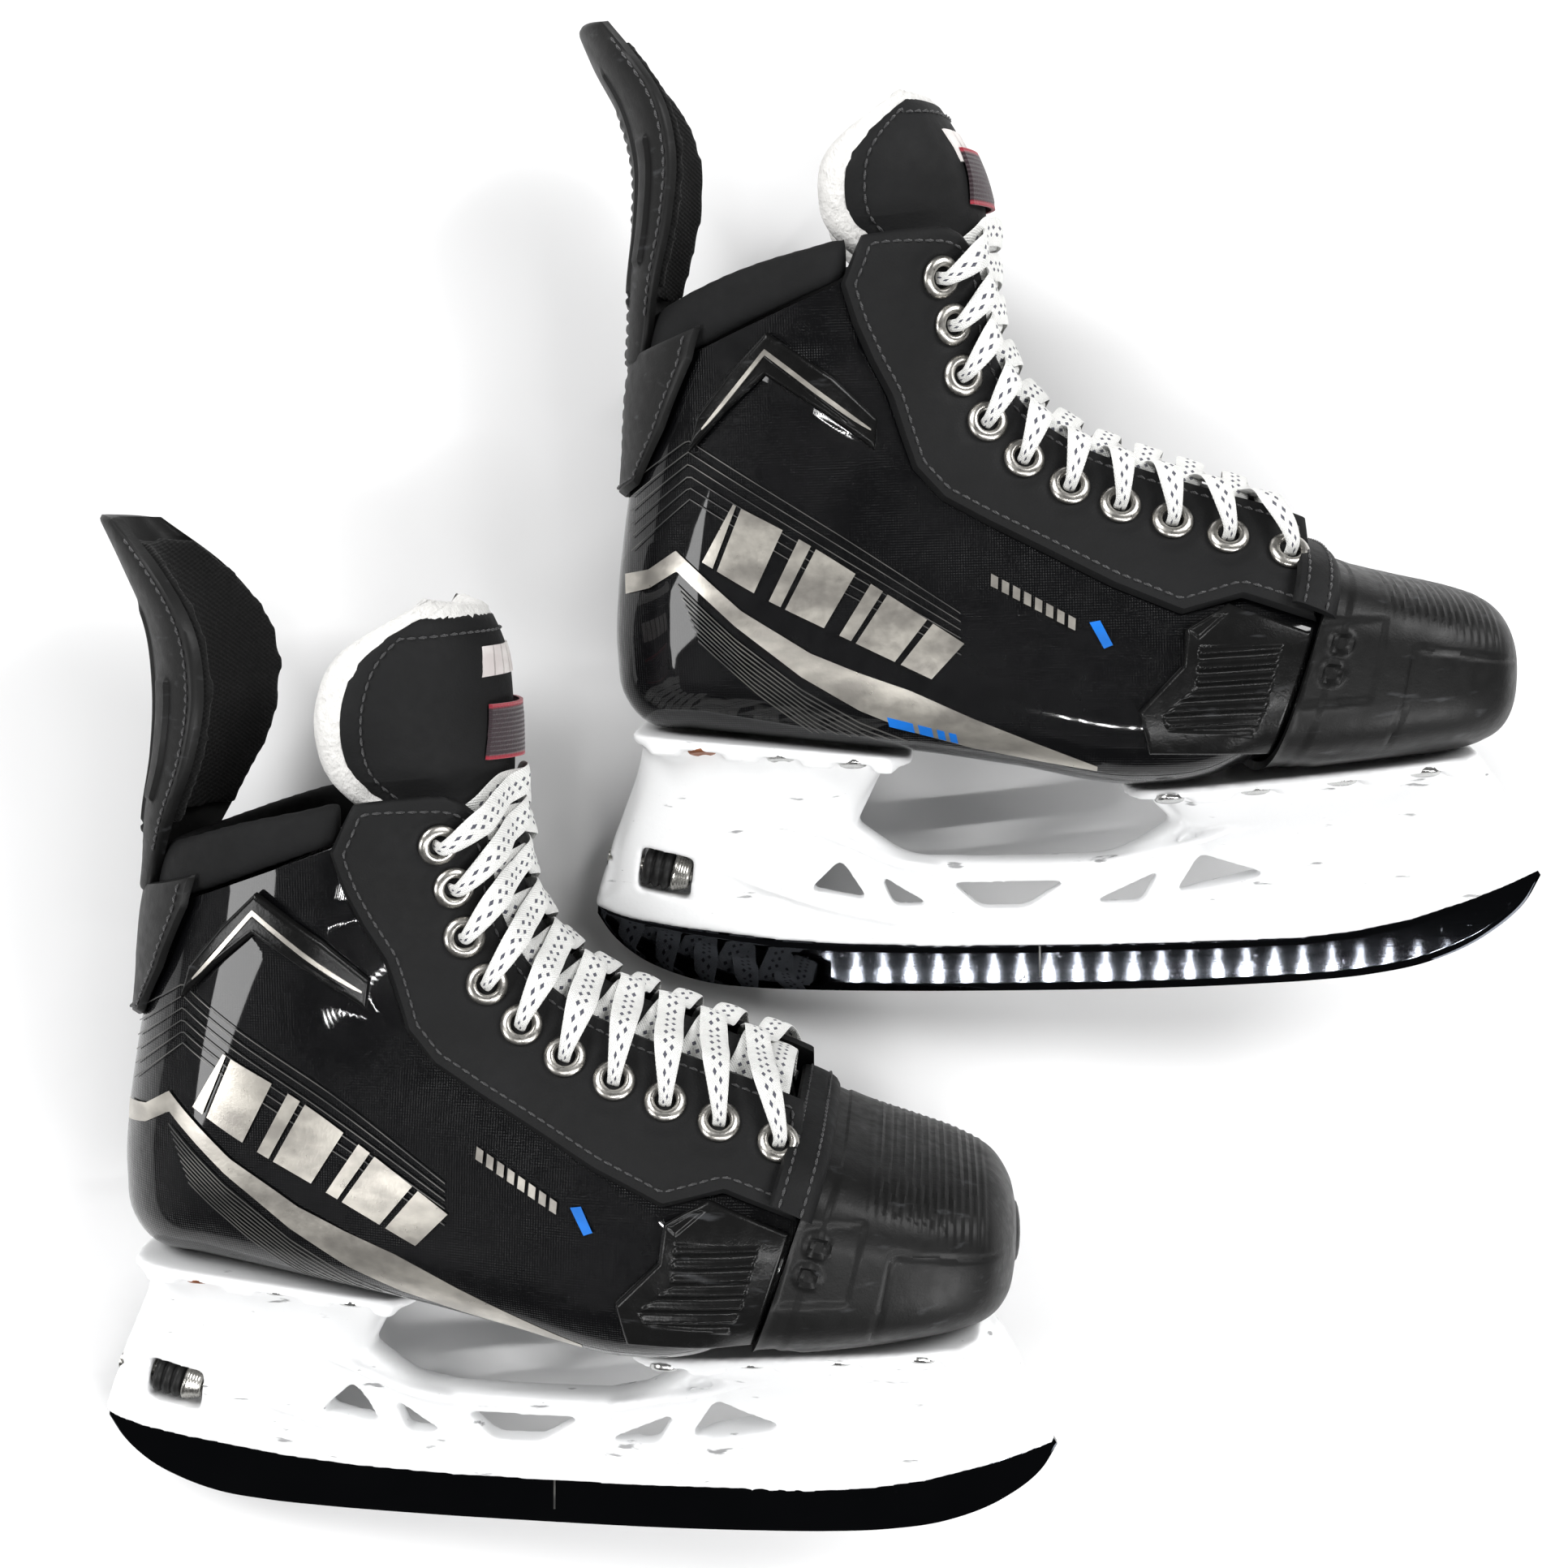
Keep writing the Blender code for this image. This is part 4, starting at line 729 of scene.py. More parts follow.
def stitches(line, normals, pitch=3.2, length=2.1, thick=0.42):
    """Short raised stitches along a line of points on a surface."""
    line, normals = np.asarray(line, float), np.asarray(normals, float)
    run = np.linalg.norm(np.diff(line, axis=0), axis=1).sum()
    count = max(2, round(run / pitch))
    both = even(np.concatenate([line, normals], axis=1), count * 8 + 1)
    parts = []
    reach = max(1, round(8 * length / pitch / 2))
    lift = np.array([0.0, thick * 0.9, 0.0])
    for middle in range(4, 8 * count, 8):
        some = both[[middle - reach, middle, middle + reach]]
        points = some[:, :3] + unit(some[:, 3:]) * lift[:, None]
        parts.append(rod(points, [thick * 0.5, thick, thick * 0.5], 5))
    return parts


def surface_stitches(path, side, offset):
    """Stitches along a side-view path, laid on the boot at an offset."""
    x, z = even(path, max(12, int(run_along(even(path, max(8, 2 * len(path))))[-1] / 2))).T
    return stitches(lifted(x, z, side, offset), side_normal(x, z, side))


def overlay(grid, side, low, high, edge=1.6, relief=None):
    """A panel with rounded edges over the boot, from a side-view grid of places."""
    x, z = grid[..., 0], grid[..., 1]
    distance = rim_distance(lifted(x, z, side, low))
    height = low + 0.25 + (high - low - 0.25) * rounding(distance, edge)
    if relief is not None:
        height = height + relief(x, z) * step(distance, 0.4, 1.8)
    return slab(lifted(x, z, side, height), lifted(x, z, side, low))


def decal(upper, lower, side, count, across, offset=0.12):
    """A print between two side-view lines, laid on the shell."""
    grid = between(even(upper, count), even(lower, count), across)
    x, z = grid[..., 0], grid[..., 1]
    return slab(lifted(x, z, side, offset), lifted(x, z, side, offset - 0.1))


SHELL_ANGLES = np.linspace(21.3, 98, 130)


def make_shell(skate):
    grid = section_grid(SHELL_ANGLES, 20.0, 170)
    normals = grid_normals(grid)
    x, z = grid[..., 0], grid[..., 2]
    ridge = [(60, 196), (96, 170), (108, 160), (150, 134), (178, 118), (196, 122), (160, 150), (100, 200)]
    raised = 0.9 * step(edge_distance(x, z, ridge), -3.0, 1.5)
    outer = grid + (raised - 0.6)[..., None] * normals * step(z, 100, 112)[..., None]
    skate.piece("boot_shell_fine", slab(outer, grid - SHELL_WALL * normals), "shell", nodes=["boot_shell"])
    lining = section_grid(np.linspace(22.3, 96, 70), 21.0, 90)
    normals = grid_normals(lining)
    outside = SHELL_WALL + LINER_GAP
    part = slab(lining - outside * normals, lining - (outside + LINER_WALL) * normals)
    skate.piece("inner_liner_fine", part, "liner", nodes=["inner_liner"])


def make_insole(skate):
    below = SHELL_WALL + LINER_GAP + LINER_WALL + 4.0
    angles = np.linspace(49, 95, 60)
    narrowing = np.interp(angles, [49, 53, 62, 72, 82, 90, 95], [8, 2, 0, 0, 0, 2, 6])
    length = outline_at(angles) - throat_at(angles)
    bottom = outline_at(angles) - below
    reach = {}
    for side in (LATERAL, MEDIAL):
        reach[side] = side * (half_width(angles, 1 - (below + 1) / length, side) - 17.5 - narrowing)
    across = np.linspace(0, 1, 25)[None, :]
    y = reach[LATERAL][:, None] * (1 - across) + reach[MEDIAL][:, None] * across
    dish = 1.2 * (2 * across - 1) ** 2
    top, under = (ray_point(angles[:, None], bottom[:, None] - rise, y) for rise in (4.0 + dish, 0.0))
    skate.piece("insole_fine", slab(top, under), "insole", nodes=["insole"])


# The toe cap's seven stations from rear edge to tip: foot as (x, height over the sole), top as (x, z)
CAP_BOTTOM = [(204, 0.3), (224, 0.3), (244, 0.3), (261, 0.3), (272, 1.2), (278, 5.0), (280.5, 12.0)]
CAP_TOP = [(223.5, 137.5), (236, 132.5), (251, 128.5), (263, 125.5), (273, 121.5), (278.5, 115), (280.5, 108)]
CAP_HALF_WIDTH = [51.5, 50, 47, 42, 35, 24, 11]
CAP_ROUNDNESS = [3.4, 3.3, 3.1, 2.9, 2.6, 2.4, 2.2]
CAP_WALL, CAP_NOSE, TOE_INSET = 2.6, 1.6, 5.0
CAP_INSET = [(217, 120), (236.5, 120), (232, 97), (212, 96)]
CAP_DOTS = [(223.5, 113.5), (221, 105.0)]


def cap_loops(shrink, count, around):
    """Loops round the toe cap, from its rear edge to its tip, shrunk for its inner face."""
    at = np.linspace(0, 6, count)

    def along(values):
        return smooth(np.arange(7), values)(at)

    foot = np.stack([along([x for x, _ in CAP_BOTTOM]), along([ball_sole(x) + z for x, z in CAP_BOTTOM])], -1)
    top = np.stack([along([x for x, _ in CAP_TOP]), along([z for _, z in CAP_TOP])], -1)
    width, n = along(CAP_HALF_WIDTH) - shrink, 2 / along(CAP_ROUNDNESS)
    centre, half = (foot + top) / 2, np.linalg.norm(top - foot, axis=1) / 2 - shrink
    up = unit(top - foot)
    back = shrink * np.maximum(0, (top[:, 0] - 258) / 26)
    inset = TOE_INSET * (at / 6) ** 1.5
    turns = np.linspace(0, 2 * math.pi, 720)
    loops = []
    for k in range(count):
        side = boxed(np.cos(turns), n[k]) * width[k]
        rise = boxed(np.sin(turns), n[k]) * half[k]
        x = centre[k, 0] + up[k, 0] * rise - back[k]
        z = centre[k, 1] + up[k, 1] * rise
        loops.append(even(np.stack([x, side + inset[k], z], -1), around + 1)[:-1])
    last = loops[-1]
    middle = last.mean(axis=0)
    for a in np.radians([18, 36, 54, 72, 86]):
        loops.append(middle + (last - middle) * math.cos(a) + [CAP_NOSE * math.sin(a), 0, 0])
    return np.array(loops)


def cap_relief(p):
    """How far the toe cap's plate, studs, rear band, top ribs and grooves stand out."""
    x, y, z = p[..., 0], p[..., 1], p[..., 2]
    facing_side = step(np.abs(y), 26, 34)
    height = -0.75 * step(edge_distance(x, z, CAP_INSET), -0.4, 0.7) * facing_side
    for dot_x, dot_z in CAP_DOTS:
        r = np.hypot(x - dot_x, z - dot_z)
        height += facing_side * (1.0 * step(-np.abs(r - 3.1), -0.9, -0.2) - 0.35 * step(-r, -2.6, -2.0))
    band = x - cap_edge(z)
    height += -0.6 * step(-np.abs(band - 4.0), -3.4, -2.9)
    top = step(z - (138 - 0.36 * (x - 223)), -14, -9)
    ribs = np.sin(2 * math.pi * x / 2.3)
    height += 0.22 * ribs * top * step(x, 236, 238) * step(-x, -272, -269)
    long_groove = step(-np.abs(z - (112 - 0.18 * (x - 240))), -0.9, -0.2) * step(x, 243, 246)
    cross_groove = step(-np.abs(x - 244 + 0.2 * (110 - z)), -0.9, -0.2)
    cross_groove = cross_groove * step(z, 80, 84) * step(-z, -112, -110)
    height += -0.5 * (long_groove + cross_groove) * facing_side
    height += 0.7 * step(-z, -81.5, -79.0) * step(x, 215, 220) * step(-x, -282, -276)
    return height


def make_toe_cap(skate):
    outer = cap_loops(0.0, 110, 260)
    outer = outer + cap_relief(outer)[..., None] * grid_normals(outer, closed=True)
    inner = cap_loops(CAP_WALL, 110, 260)
    out_points, out_faces = tube(outer, ends=False)
    in_points, in_faces = tube(inner, ends=False)
    start, around = len(out_points), outer.shape[1]
    rim = [(k, (k + 1) % around, start + (k + 1) % around, start + k) for k in range(around)]
    last = len(out_points) - around
    ends = [tuple(range(last, last + around)), tuple(range(start + last, start + last + around))]
    faces = out_faces + [tuple(i + start for i in f) for f in in_faces] + rim + ends
    skate.piece("toe_cap_fine", (np.concatenate([out_points, in_points]), faces), "cap", nodes=["toe_cap"])


BAND_RISE, BAND_FOOT_Z = 2.3, 121.0


def make_toe_band(skate):
    """The stitched band that closes the throat over the toe cap's rear edge."""
    edge = cap_loops(0.0, 110, 360)[0]
    edge = edge[edge[:, 2] > BAND_FOOT_Z]
    edge = edge[np.argsort(-edge[:, 1])]
    outwards = unit(edge * [0, 1, 1] - [0, 0, 100.0])
    across = np.linspace(-9.0, 3.0, 13)
    rounded = np.sqrt(1 - np.abs(np.linspace(-1, 1, 13)) ** 3)
    high, low = [], []
    for x, rise in zip(across, rounded):
        row = edge + np.array([x, 0.0, -0.42 * x])
        high.append(row + (0.4 + BAND_RISE * rise) * outwards)
        low.append(row - 0.3 * outwards)
    high = np.array(high)
    skate.piece("toe_band", slab(high, np.array(low)), "facing")
    parts = stitches(high[3], outwards) + stitches(high[9], outwards)
    skate.piece("toe_band_stitching", merged(parts), "thread")


# The facing's rows: angle of the throat's edge, place of the facing's foot
FACING_ROWS = [
    (19.0, (92, 230)), (25.0, (86, 217)), (31.0, (89, 206)), (37.0, (93, 196)), (43.0, (98, 186)),
    (49.0, (101.5, 175)), (55.0, (105, 165)), (61.0, (113, 156)), (67.0, (126, 148.5)),
    (74.0, (144, 139)), (81.0, (161, 130)), (88.0, (180, 122)), (93.0, (197, 126)),
    (98.5, (cap_edge(119.0) - SEAM, 119.0)),
]
EYELETS, EYELET_FIRST, EYELET_STEP, EYELET_INSET = 10, 26.0, 7.65, 12.5
# The closed section of an eyelet, as (height over the boot, radius)
EYELET_SECTION = [
    (2.4, 3.0), (4.2, 3.0), (4.75, 3.25), (5.0, 3.8), (4.95, 4.5), (4.6, 5.2), (4.1, 5.8), (3.6, 6.0),
    (3.1, 5.9), (3.0, 4.5), (2.4, 4.0),
]


def eyelet_place(index, side):
    p = depth_point(EYELET_FIRST + EYELET_STEP * index, EYELET_INSET, side)
    return p, side_normal(p[0], p[2], side)


def facing_grid(rows, columns):
    """Side-view places over the facing, from the throat to its foot."""
    index = np.arange(len(FACING_ROWS))
    at = np.linspace(0, index[-1], rows)
    angle = np.interp(at, index, [a for a, _ in FACING_ROWS])
    foot = read_off(at, index, [f for _, f in FACING_ROWS])
    edge = ray_point(angle, throat_at(angle))[:, [0, 2]]
    edge[:, 0] = np.minimum(edge[:, 0], cap_edge(edge[:, 1]) - SEAM)
    return between(edge, foot, columns)


def shrunk(outline, distance):
    """A closed side-view outline moved inwards."""
    outline = even(np.concatenate([outline, outline[:1]]), 240)[:-1]
    tangent = unit(np.roll(outline, -2, axis=0) - np.roll(outline, 2, axis=0))
    normal = np.stack([-tangent[:, 1], tangent[:, 0]], -1)
    inner = outline + distance * normal
    if edge_distance(*inner.T, outline).mean() < 0:
        inner = outline - distance * normal
    return inner[edge_distance(*inner.T, outline) > distance * 0.9]


def make_facing(skate, side):
    name = SIDES[side]
    grid = facing_grid(230, 34)

    def relief(x, z):
        height = 0 * x
        for index in range(EYELETS):
            p, _ = eyelet_place(index, side)
            r = np.hypot(x - p[0], z - p[2])
            height = height - 0.45 * step(-r, -9.0, -6.0)
        return height

    part = overlay(grid, side, OVERLAY_GAP, OVERLAY_GAP + OVERLAY_WALL + 0.4, 1.8, relief)
    skate.piece(f"facing_{name}_fine", part, "facing", nodes=["facing_" + name])
    rim = np.concatenate([grid[:, -1], grid[-1, ::-1], grid[::-1, 0], grid[0]])
    inner = shrunk(rim, 3.4)
    parts = surface_stitches(np.concatenate([inner, inner[:1]]), side, OVERLAY_TOP)
    skate.piece(f"facing_{name}_stitching", merged(parts), "thread")
    rings = [ring(EYELET_SECTION, 36, *eyelet_place(index, side), (1, 0, 0.3)) for index in range(EYELETS)]
    skate.piece(f"eyelets_{name}_fine", merged(rings), "eyelet", nodes=["eyelets_" + name], sharp=60)


# The vent panel's rear edge, with the height of its front end; the badge's lower and upper edges
VENT_ROWS = [((193, 124.5), 116.0), ((181, 118), 109), ((180, 108), 102), ((168, 95), 93), ((171, 83), 83)]
VENT_FIELD = [
    (184, 114), (208, 113.5), (206.5, 109), (203, 95), (199, 88), (176, 89.5), (174, 94), (183, 102),
]
VENT_TRIANGLE = [(181.5, 117.5), (186, 121.5), (192.5, 121.5), (184.5, 115.0)]
VENT_RIB_PITCH = 3.9
BADGE_ROWS = [
    ((41, 172), (44, 182)), ((52, 183), (54, 194)), ((64, 193), (65, 205)), ((80, 182), (83, 192)),
    ((94, 171), (95, 180)),
]
BADGE_FIELD = [(49, 183), (64, 199), (88, 178), (64, 191)]
BADGE_LINE = [(46, 181), (64.5, 202.5), (92.5, 179.5)]


def rows_grid(rows, count, columns):
    """Side-view places between the first and second ends of rows."""
    first, second = np.array([row[0] for row in rows], float), [row[1] for row in rows]
    run = run_along(first)
    return between(even(first, count), read_off(np.linspace(0, run[-1], count), run, second), columns)


def vent_relief(x, z):
    ribs = 0.5 + 0.5 * np.cos(2 * math.pi * (z - 0.05 * (x - 190) - 100) / VENT_RIB_PITCH)
    notch = step(edge_distance(x, z, VENT_TRIANGLE), -0.2, 0.8)
    return step(edge_distance(x, z, VENT_FIELD), 0.2, 1.4) * (1.3 * ribs**1.5 - 0.5) - 0.7 * notch


def badge_relief(x, z):
    return -0.25 + 0.35 * step(-edge_distance(x, z, BADGE_FIELD), -0.5, 0.3)


def make_panels(skate, side):
    name = SIDES[side]
    vent = rows_grid([(rear, (cap_edge(z) - SEAM - 0.6, z)) for rear, z in VENT_ROWS], 150, 110)
    badge = rows_grid(BADGE_ROWS, 130, 40)
    for panel, grid, finish, edge, relief in (
        ("vent_panel", vent, "vent", 1.5, vent_relief), ("ankle_badge", badge, "badge", 1.4, badge_relief),
    ):
        part = overlay(grid, side, OVERLAY_GAP, OVERLAY_GAP + OVERLAY_WALL, edge, relief)
        skate.piece(f"{panel}_{name}_fine", part, finish, nodes=[f"{panel}_{name}"])
    line = even(BADGE_LINE, 60)
    thickness = 1.15 * (1 - np.abs(np.linspace(-1, 1, 60)) ** 6 * 0.7)
    below = line - np.array([0, 1.0]) * thickness[:, None] * 1.5
    x, z = np.moveaxis(between(line - [0, 2.2], below - [0, 2.2], 5), -1, 0)
    part = slab(lifted(x, z, side, OVERLAY_TOP), lifted(x, z, side, OVERLAY_TOP - 0.6))
    skate.piece(f"ankle_line_{name}", part, "silver")


STRIPE_TOP = [
    (17.5, 137), (26, 138.5), (35, 144), (54, 126), (74, 113), (88, 107), (103, 101.5), (121, 93), (140, 85),
    (157, 78),
]
STRIPE_LOW = [
    (17.5, 131), (26, 133), (35, 138), (52, 121.5), (71, 106), (88, 95.5), (104, 88.5), (121, 83.5),
    (140, 79.5), (157, 76.5),
]
BAR_TOP = [(53, 157), (70, 147.5), (96, 130.5), (122, 113)]
BAR_LOW = [(43, 140.5), (60, 130), (84, 117.5), (110, 104.5)]
# Starts and ends of the bars, as shares of their row; their tops lean back by some of its 400 points
BARS = [(0.0, 0.05), (0.07, 0.235), (0.30, 0.35), (0.37, 0.535), (0.60, 0.65), (0.67, 0.835), (0.86, 0.99)]
BAR_POINTS, BAR_LEAN = 400, 14
SLASH = [(154.5, 120.5), (157.5, 121.0)], [(158.5, 113.0), (161.0, 114.0)]
# The dashes' starts and widths, then the row of ticks; each row falls along its own slope
DASHES, DASH_SLOPE = ((96, 7.5), (105, 4), (110.5, 2.2), (114, 2.2)), 0.27
TICKS, TICK_SLOPE = (127, 151, 3.1), 0.56


def make_graphics(skate, side):
    name = SIDES[side]
    parts = [decal(STRIPE_TOP, STRIPE_LOW, side, 150, 9)]
    top, low = spline(BAR_TOP, BAR_POINTS), spline(BAR_LOW, BAR_POINTS)
    for share in BARS:
        first, last = (int(at * (BAR_POINTS - 1)) for at in share)
        upper = top[max(0, first - BAR_LEAN) : last - BAR_LEAN + 1]
        parts.append(decal(upper, low[first : last + 1], side, 24, 14))
    skate.piece(f"print_silver_{name}", merged(parts), "silver")
    lines = []
    for k in range(9):
        drop = 3.6 + 2.1 * k
        path = even(STRIPE_LOW[2:8], 60)[: 58 - 3 * k] + [0.35 * drop - 1.5, -drop]
        path = path[path[:, 1] > heel_sole(path[:, 0]) + 5]
        lines.append(decal(path, path - [0.0, 0.5], side, 60, 2, 0.1))
    for k in range(6):
        corners = [(20, 150 + 4 * k), (40, 165 + 3.4 * k), (84, 137 + 3.2 * k), (118, 118 + 2.4 * k)]
        path = even(corners, 80) - [0, 6]
        lines.append(decal(path, path - [0.0, 0.35], side, 80, 2, 0.1))
    skate.piece(f"print_lines_{name}", merged(lines), "pinstripe")
    blue = [decal(*SLASH, side, 6, 12)]
    if side == MEDIAL:
        for x, width in DASHES:
            upper = [(at, 93.2 - DASH_SLOPE * (at - 97)) for at in (x, x + width)]
            lower = [(at + 0.6, 90.2 - DASH_SLOPE * (at - 97)) for at in (x, x + width)]
            blue.append(decal(upper, lower, side, 8, 6, 0.2))
    skate.piece(f"print_blue_{name}", merged(blue), "blue")
    ticks = []
    for x in np.arange(*TICKS):
        upper = [(at, 135.5 - TICK_SLOPE * (at - 126)) for at in (x, x + 2.0)]
        lower = [(at - lean, 132.0 - TICK_SLOPE * (at - 126)) for at, lean in ((x, 0.2), (x + 1.8, 0.0))]
        ticks.append(decal(upper, lower, side, 4, 4))
    skate.piece(f"print_tag_{name}", merged(ticks), "silver")


FILLING_FRAMES = 20


def puffed(skate, obj, finish, voxel, cap):
    """Fills a pad: its evened mesh is blown up by a cloth simulation, by no more than cap."""
    start = coordinates(remeshed(obj, voxel))
    cloth = obj.modifiers.new("filling", "CLOTH")
    cloth.settings.use_pressure = True
    cloth.settings.uniform_pressure_force = 4.0
    cloth.settings.effector_weights.gravity = 0.0
    for number in range(1, FILLING_FRAMES + 1):
        bpy.context.scene.frame_set(number)
    applied(obj)
    moved = coordinates(obj) - start
    far = np.linalg.norm(moved, axis=1, keepdims=True)
    moved *= np.minimum(1, cap * MM / np.maximum(far, 1e-9))
    obj.data.vertices.foreach_set("co", (start + moved).ravel())
    obj.data.update()
    bpy.context.scene.frame_set(1)
    soften = obj.modifiers.new("soften", "SMOOTH")
    soften.factor, soften.iterations = 0.6, 7
    fine = obj.modifiers.new("fine", "SUBSURF")
    fine.levels = fine.render_levels = 1
    applied(obj)
    return skate.dress(obj, finish, 180)


COLLAR_FRONT_X = 88.5


def make_collar(skate):
    rows, columns = 13, 150

    def from_throat(angle):
        return (PIVOT[0] - COLLAR_FRONT_X) / math.cos(math.radians(angle)) - throat_at(angle)

    grid = section_grid(np.linspace(15.3, 21.0, rows), from_throat, columns)
    normals = grid_normals(grid)
    across = np.abs(np.linspace(-1, 1, rows))[:, None]
    along = np.abs(np.linspace(-1, 1, columns))[None, :]
    full = np.sqrt(1 - across**3) * np.sqrt(1 - along**24)
    middle = grid - 3.2 * normals
    thick = (0.6 + 3.3 * full)[..., None]
    obj = skate.mesh("collar_pad_fine", slab(middle + thick * normals, middle - thick * normals))
    puffed(skate, obj, "collar", 1.3, 1.0)
    skate.ride(obj, "boot", ["collar_pad"])


# ---------------------------------------------------------------- tongue and lace

TONGUE_CROWN, TONGUE_FRONT_X, TONGUE_SIDE_OFFSET = 3.0, 127.8, -4.4
TONGUE_COVER, TONGUE_FELT, TONGUE_GAP = 1.6, 6.0, 0.3
TONGUE_FAN_ANGLES = [96, 86, 76, 67, 58, 50, 42, 35, 28]
TONGUE_TOP = {
    "left": [
        (128.5, 238.3, (9, 19), (27, 29), (48, 31)),
        (126.0, 250.0, (9, 22), (26, 32), (45, 34)),
        (120.0, 263.0, (7, 20), (20, 29), (33, 32)),
        (112.5, 274.0, (5, 15), (12, 23), (20, 26)),
    ],
    "right": [
        (128.5, 238.3, (9, 19), (27, 29), (48, 31)),
        (128.0, 253.0, (9, 22), (27, 33), (48, 36)),
        (125.5, 271.0, (7, 22), (24, 33), (40, 36)),
        (119.0, 286.0, (5, 18), (14, 28), (25, 32)),
    ],
}
TONGUE_EDGE = 7.5
TONGUE_BEND_X, TONGUE_BEND_Z = 130.0, (232.0, 247.0)
TONGUE_MARKS, TONGUE_MARK_HALF, TONGUE_MARK_LEAN = (-13, -7.5, -2, 3.5, 9, 14.5), 2.3, 1.2


def crown_at(angle):
    upright = (PIVOT[0] - TONGUE_FRONT_X) / math.cos(math.radians(angle)) if angle < 60 else math.inf
    return min(float(throat_at(angle)) - TONGUE_CROWN, upright)


def tongue_grid(foot, rows, columns):
    """The tongue's front face, from the toe to its top edge."""
    top_z = TONGUE_TOP[foot][-1][1]
    lines = []
    for angle in TONGUE_FAN_ANGLES:
        half = [ray_point(angle, crown_at(angle))]
        half += [throat_lifted(angle, depth, MEDIAL, TONGUE_SIDE_OFFSET) for depth in (0.0, 9.0, 18.0)]
        lines.append(half)
    for x, z, *sides in TONGUE_TOP[foot]:
        lines.append([np.array([x, 0.0, z])] + [np.array([x - depth, y, z]) for depth, y in sides])
    whole = []
    for half in lines:
        other = [p * [1, -1, 1] for p in half[:0:-1]]
        whole.append(spline(np.array(other + half), columns))
    whole = np.array(whole)
    grid = np.stack([spline(whole[:, k], rows) for k in range(columns)], axis=1)
    for k in range(rows):
        fall = max(0.0, (grid[k, columns // 2, 2] - top_z + 19) / 19)
        keep = math.sqrt(max(0.05, 1 - (0.86 * fall) ** 2.4))
        at = np.linspace(0.5 - keep / 2, 0.5 + keep / 2, columns)
        grid[k] = read_off(at, np.linspace(0, 1, columns), grid[k])
    return grid


def tongue_line(grid, z, y):
    """The points of the tongue's face at some distances from its middle, at a height."""
    row = grid[int(np.argmin(np.abs(grid[:, 30, 2] - z)))]
    return read_off(y, row[:, 1] * np.sign(row[-1, 1] - row[0, 1]), row)


def inward_normals(grid):
    """Normals of a grid over the throat that point into the boot."""
    normals = grid_normals(grid)
    return normals * np.sign((normals * (grid - np.array([PIVOT[0], 0, PIVOT[1]]))).sum())


def narrowed(grid, edge):
    """A grid with its sides and its last row moved in by edge."""
    rows = []
    for row in grid:
        run = run_along(row)
        rows.append(read_off(np.linspace(edge, run[-1] - edge, len(row)), run, row))
    rows = np.array(rows)
    top = np.linalg.norm(rows - rows[-1:], axis=2).mean(axis=1) > edge * 0.8
    keep = np.nonzero(top)[0]
    at = np.linspace(0, keep[-1], len(rows))
    low = np.floor(at).astype(int)
    share = (at - low)[:, None, None]
    return rows[low] * (1 - share) + rows[np.minimum(low + 1, len(rows) - 1)] * share


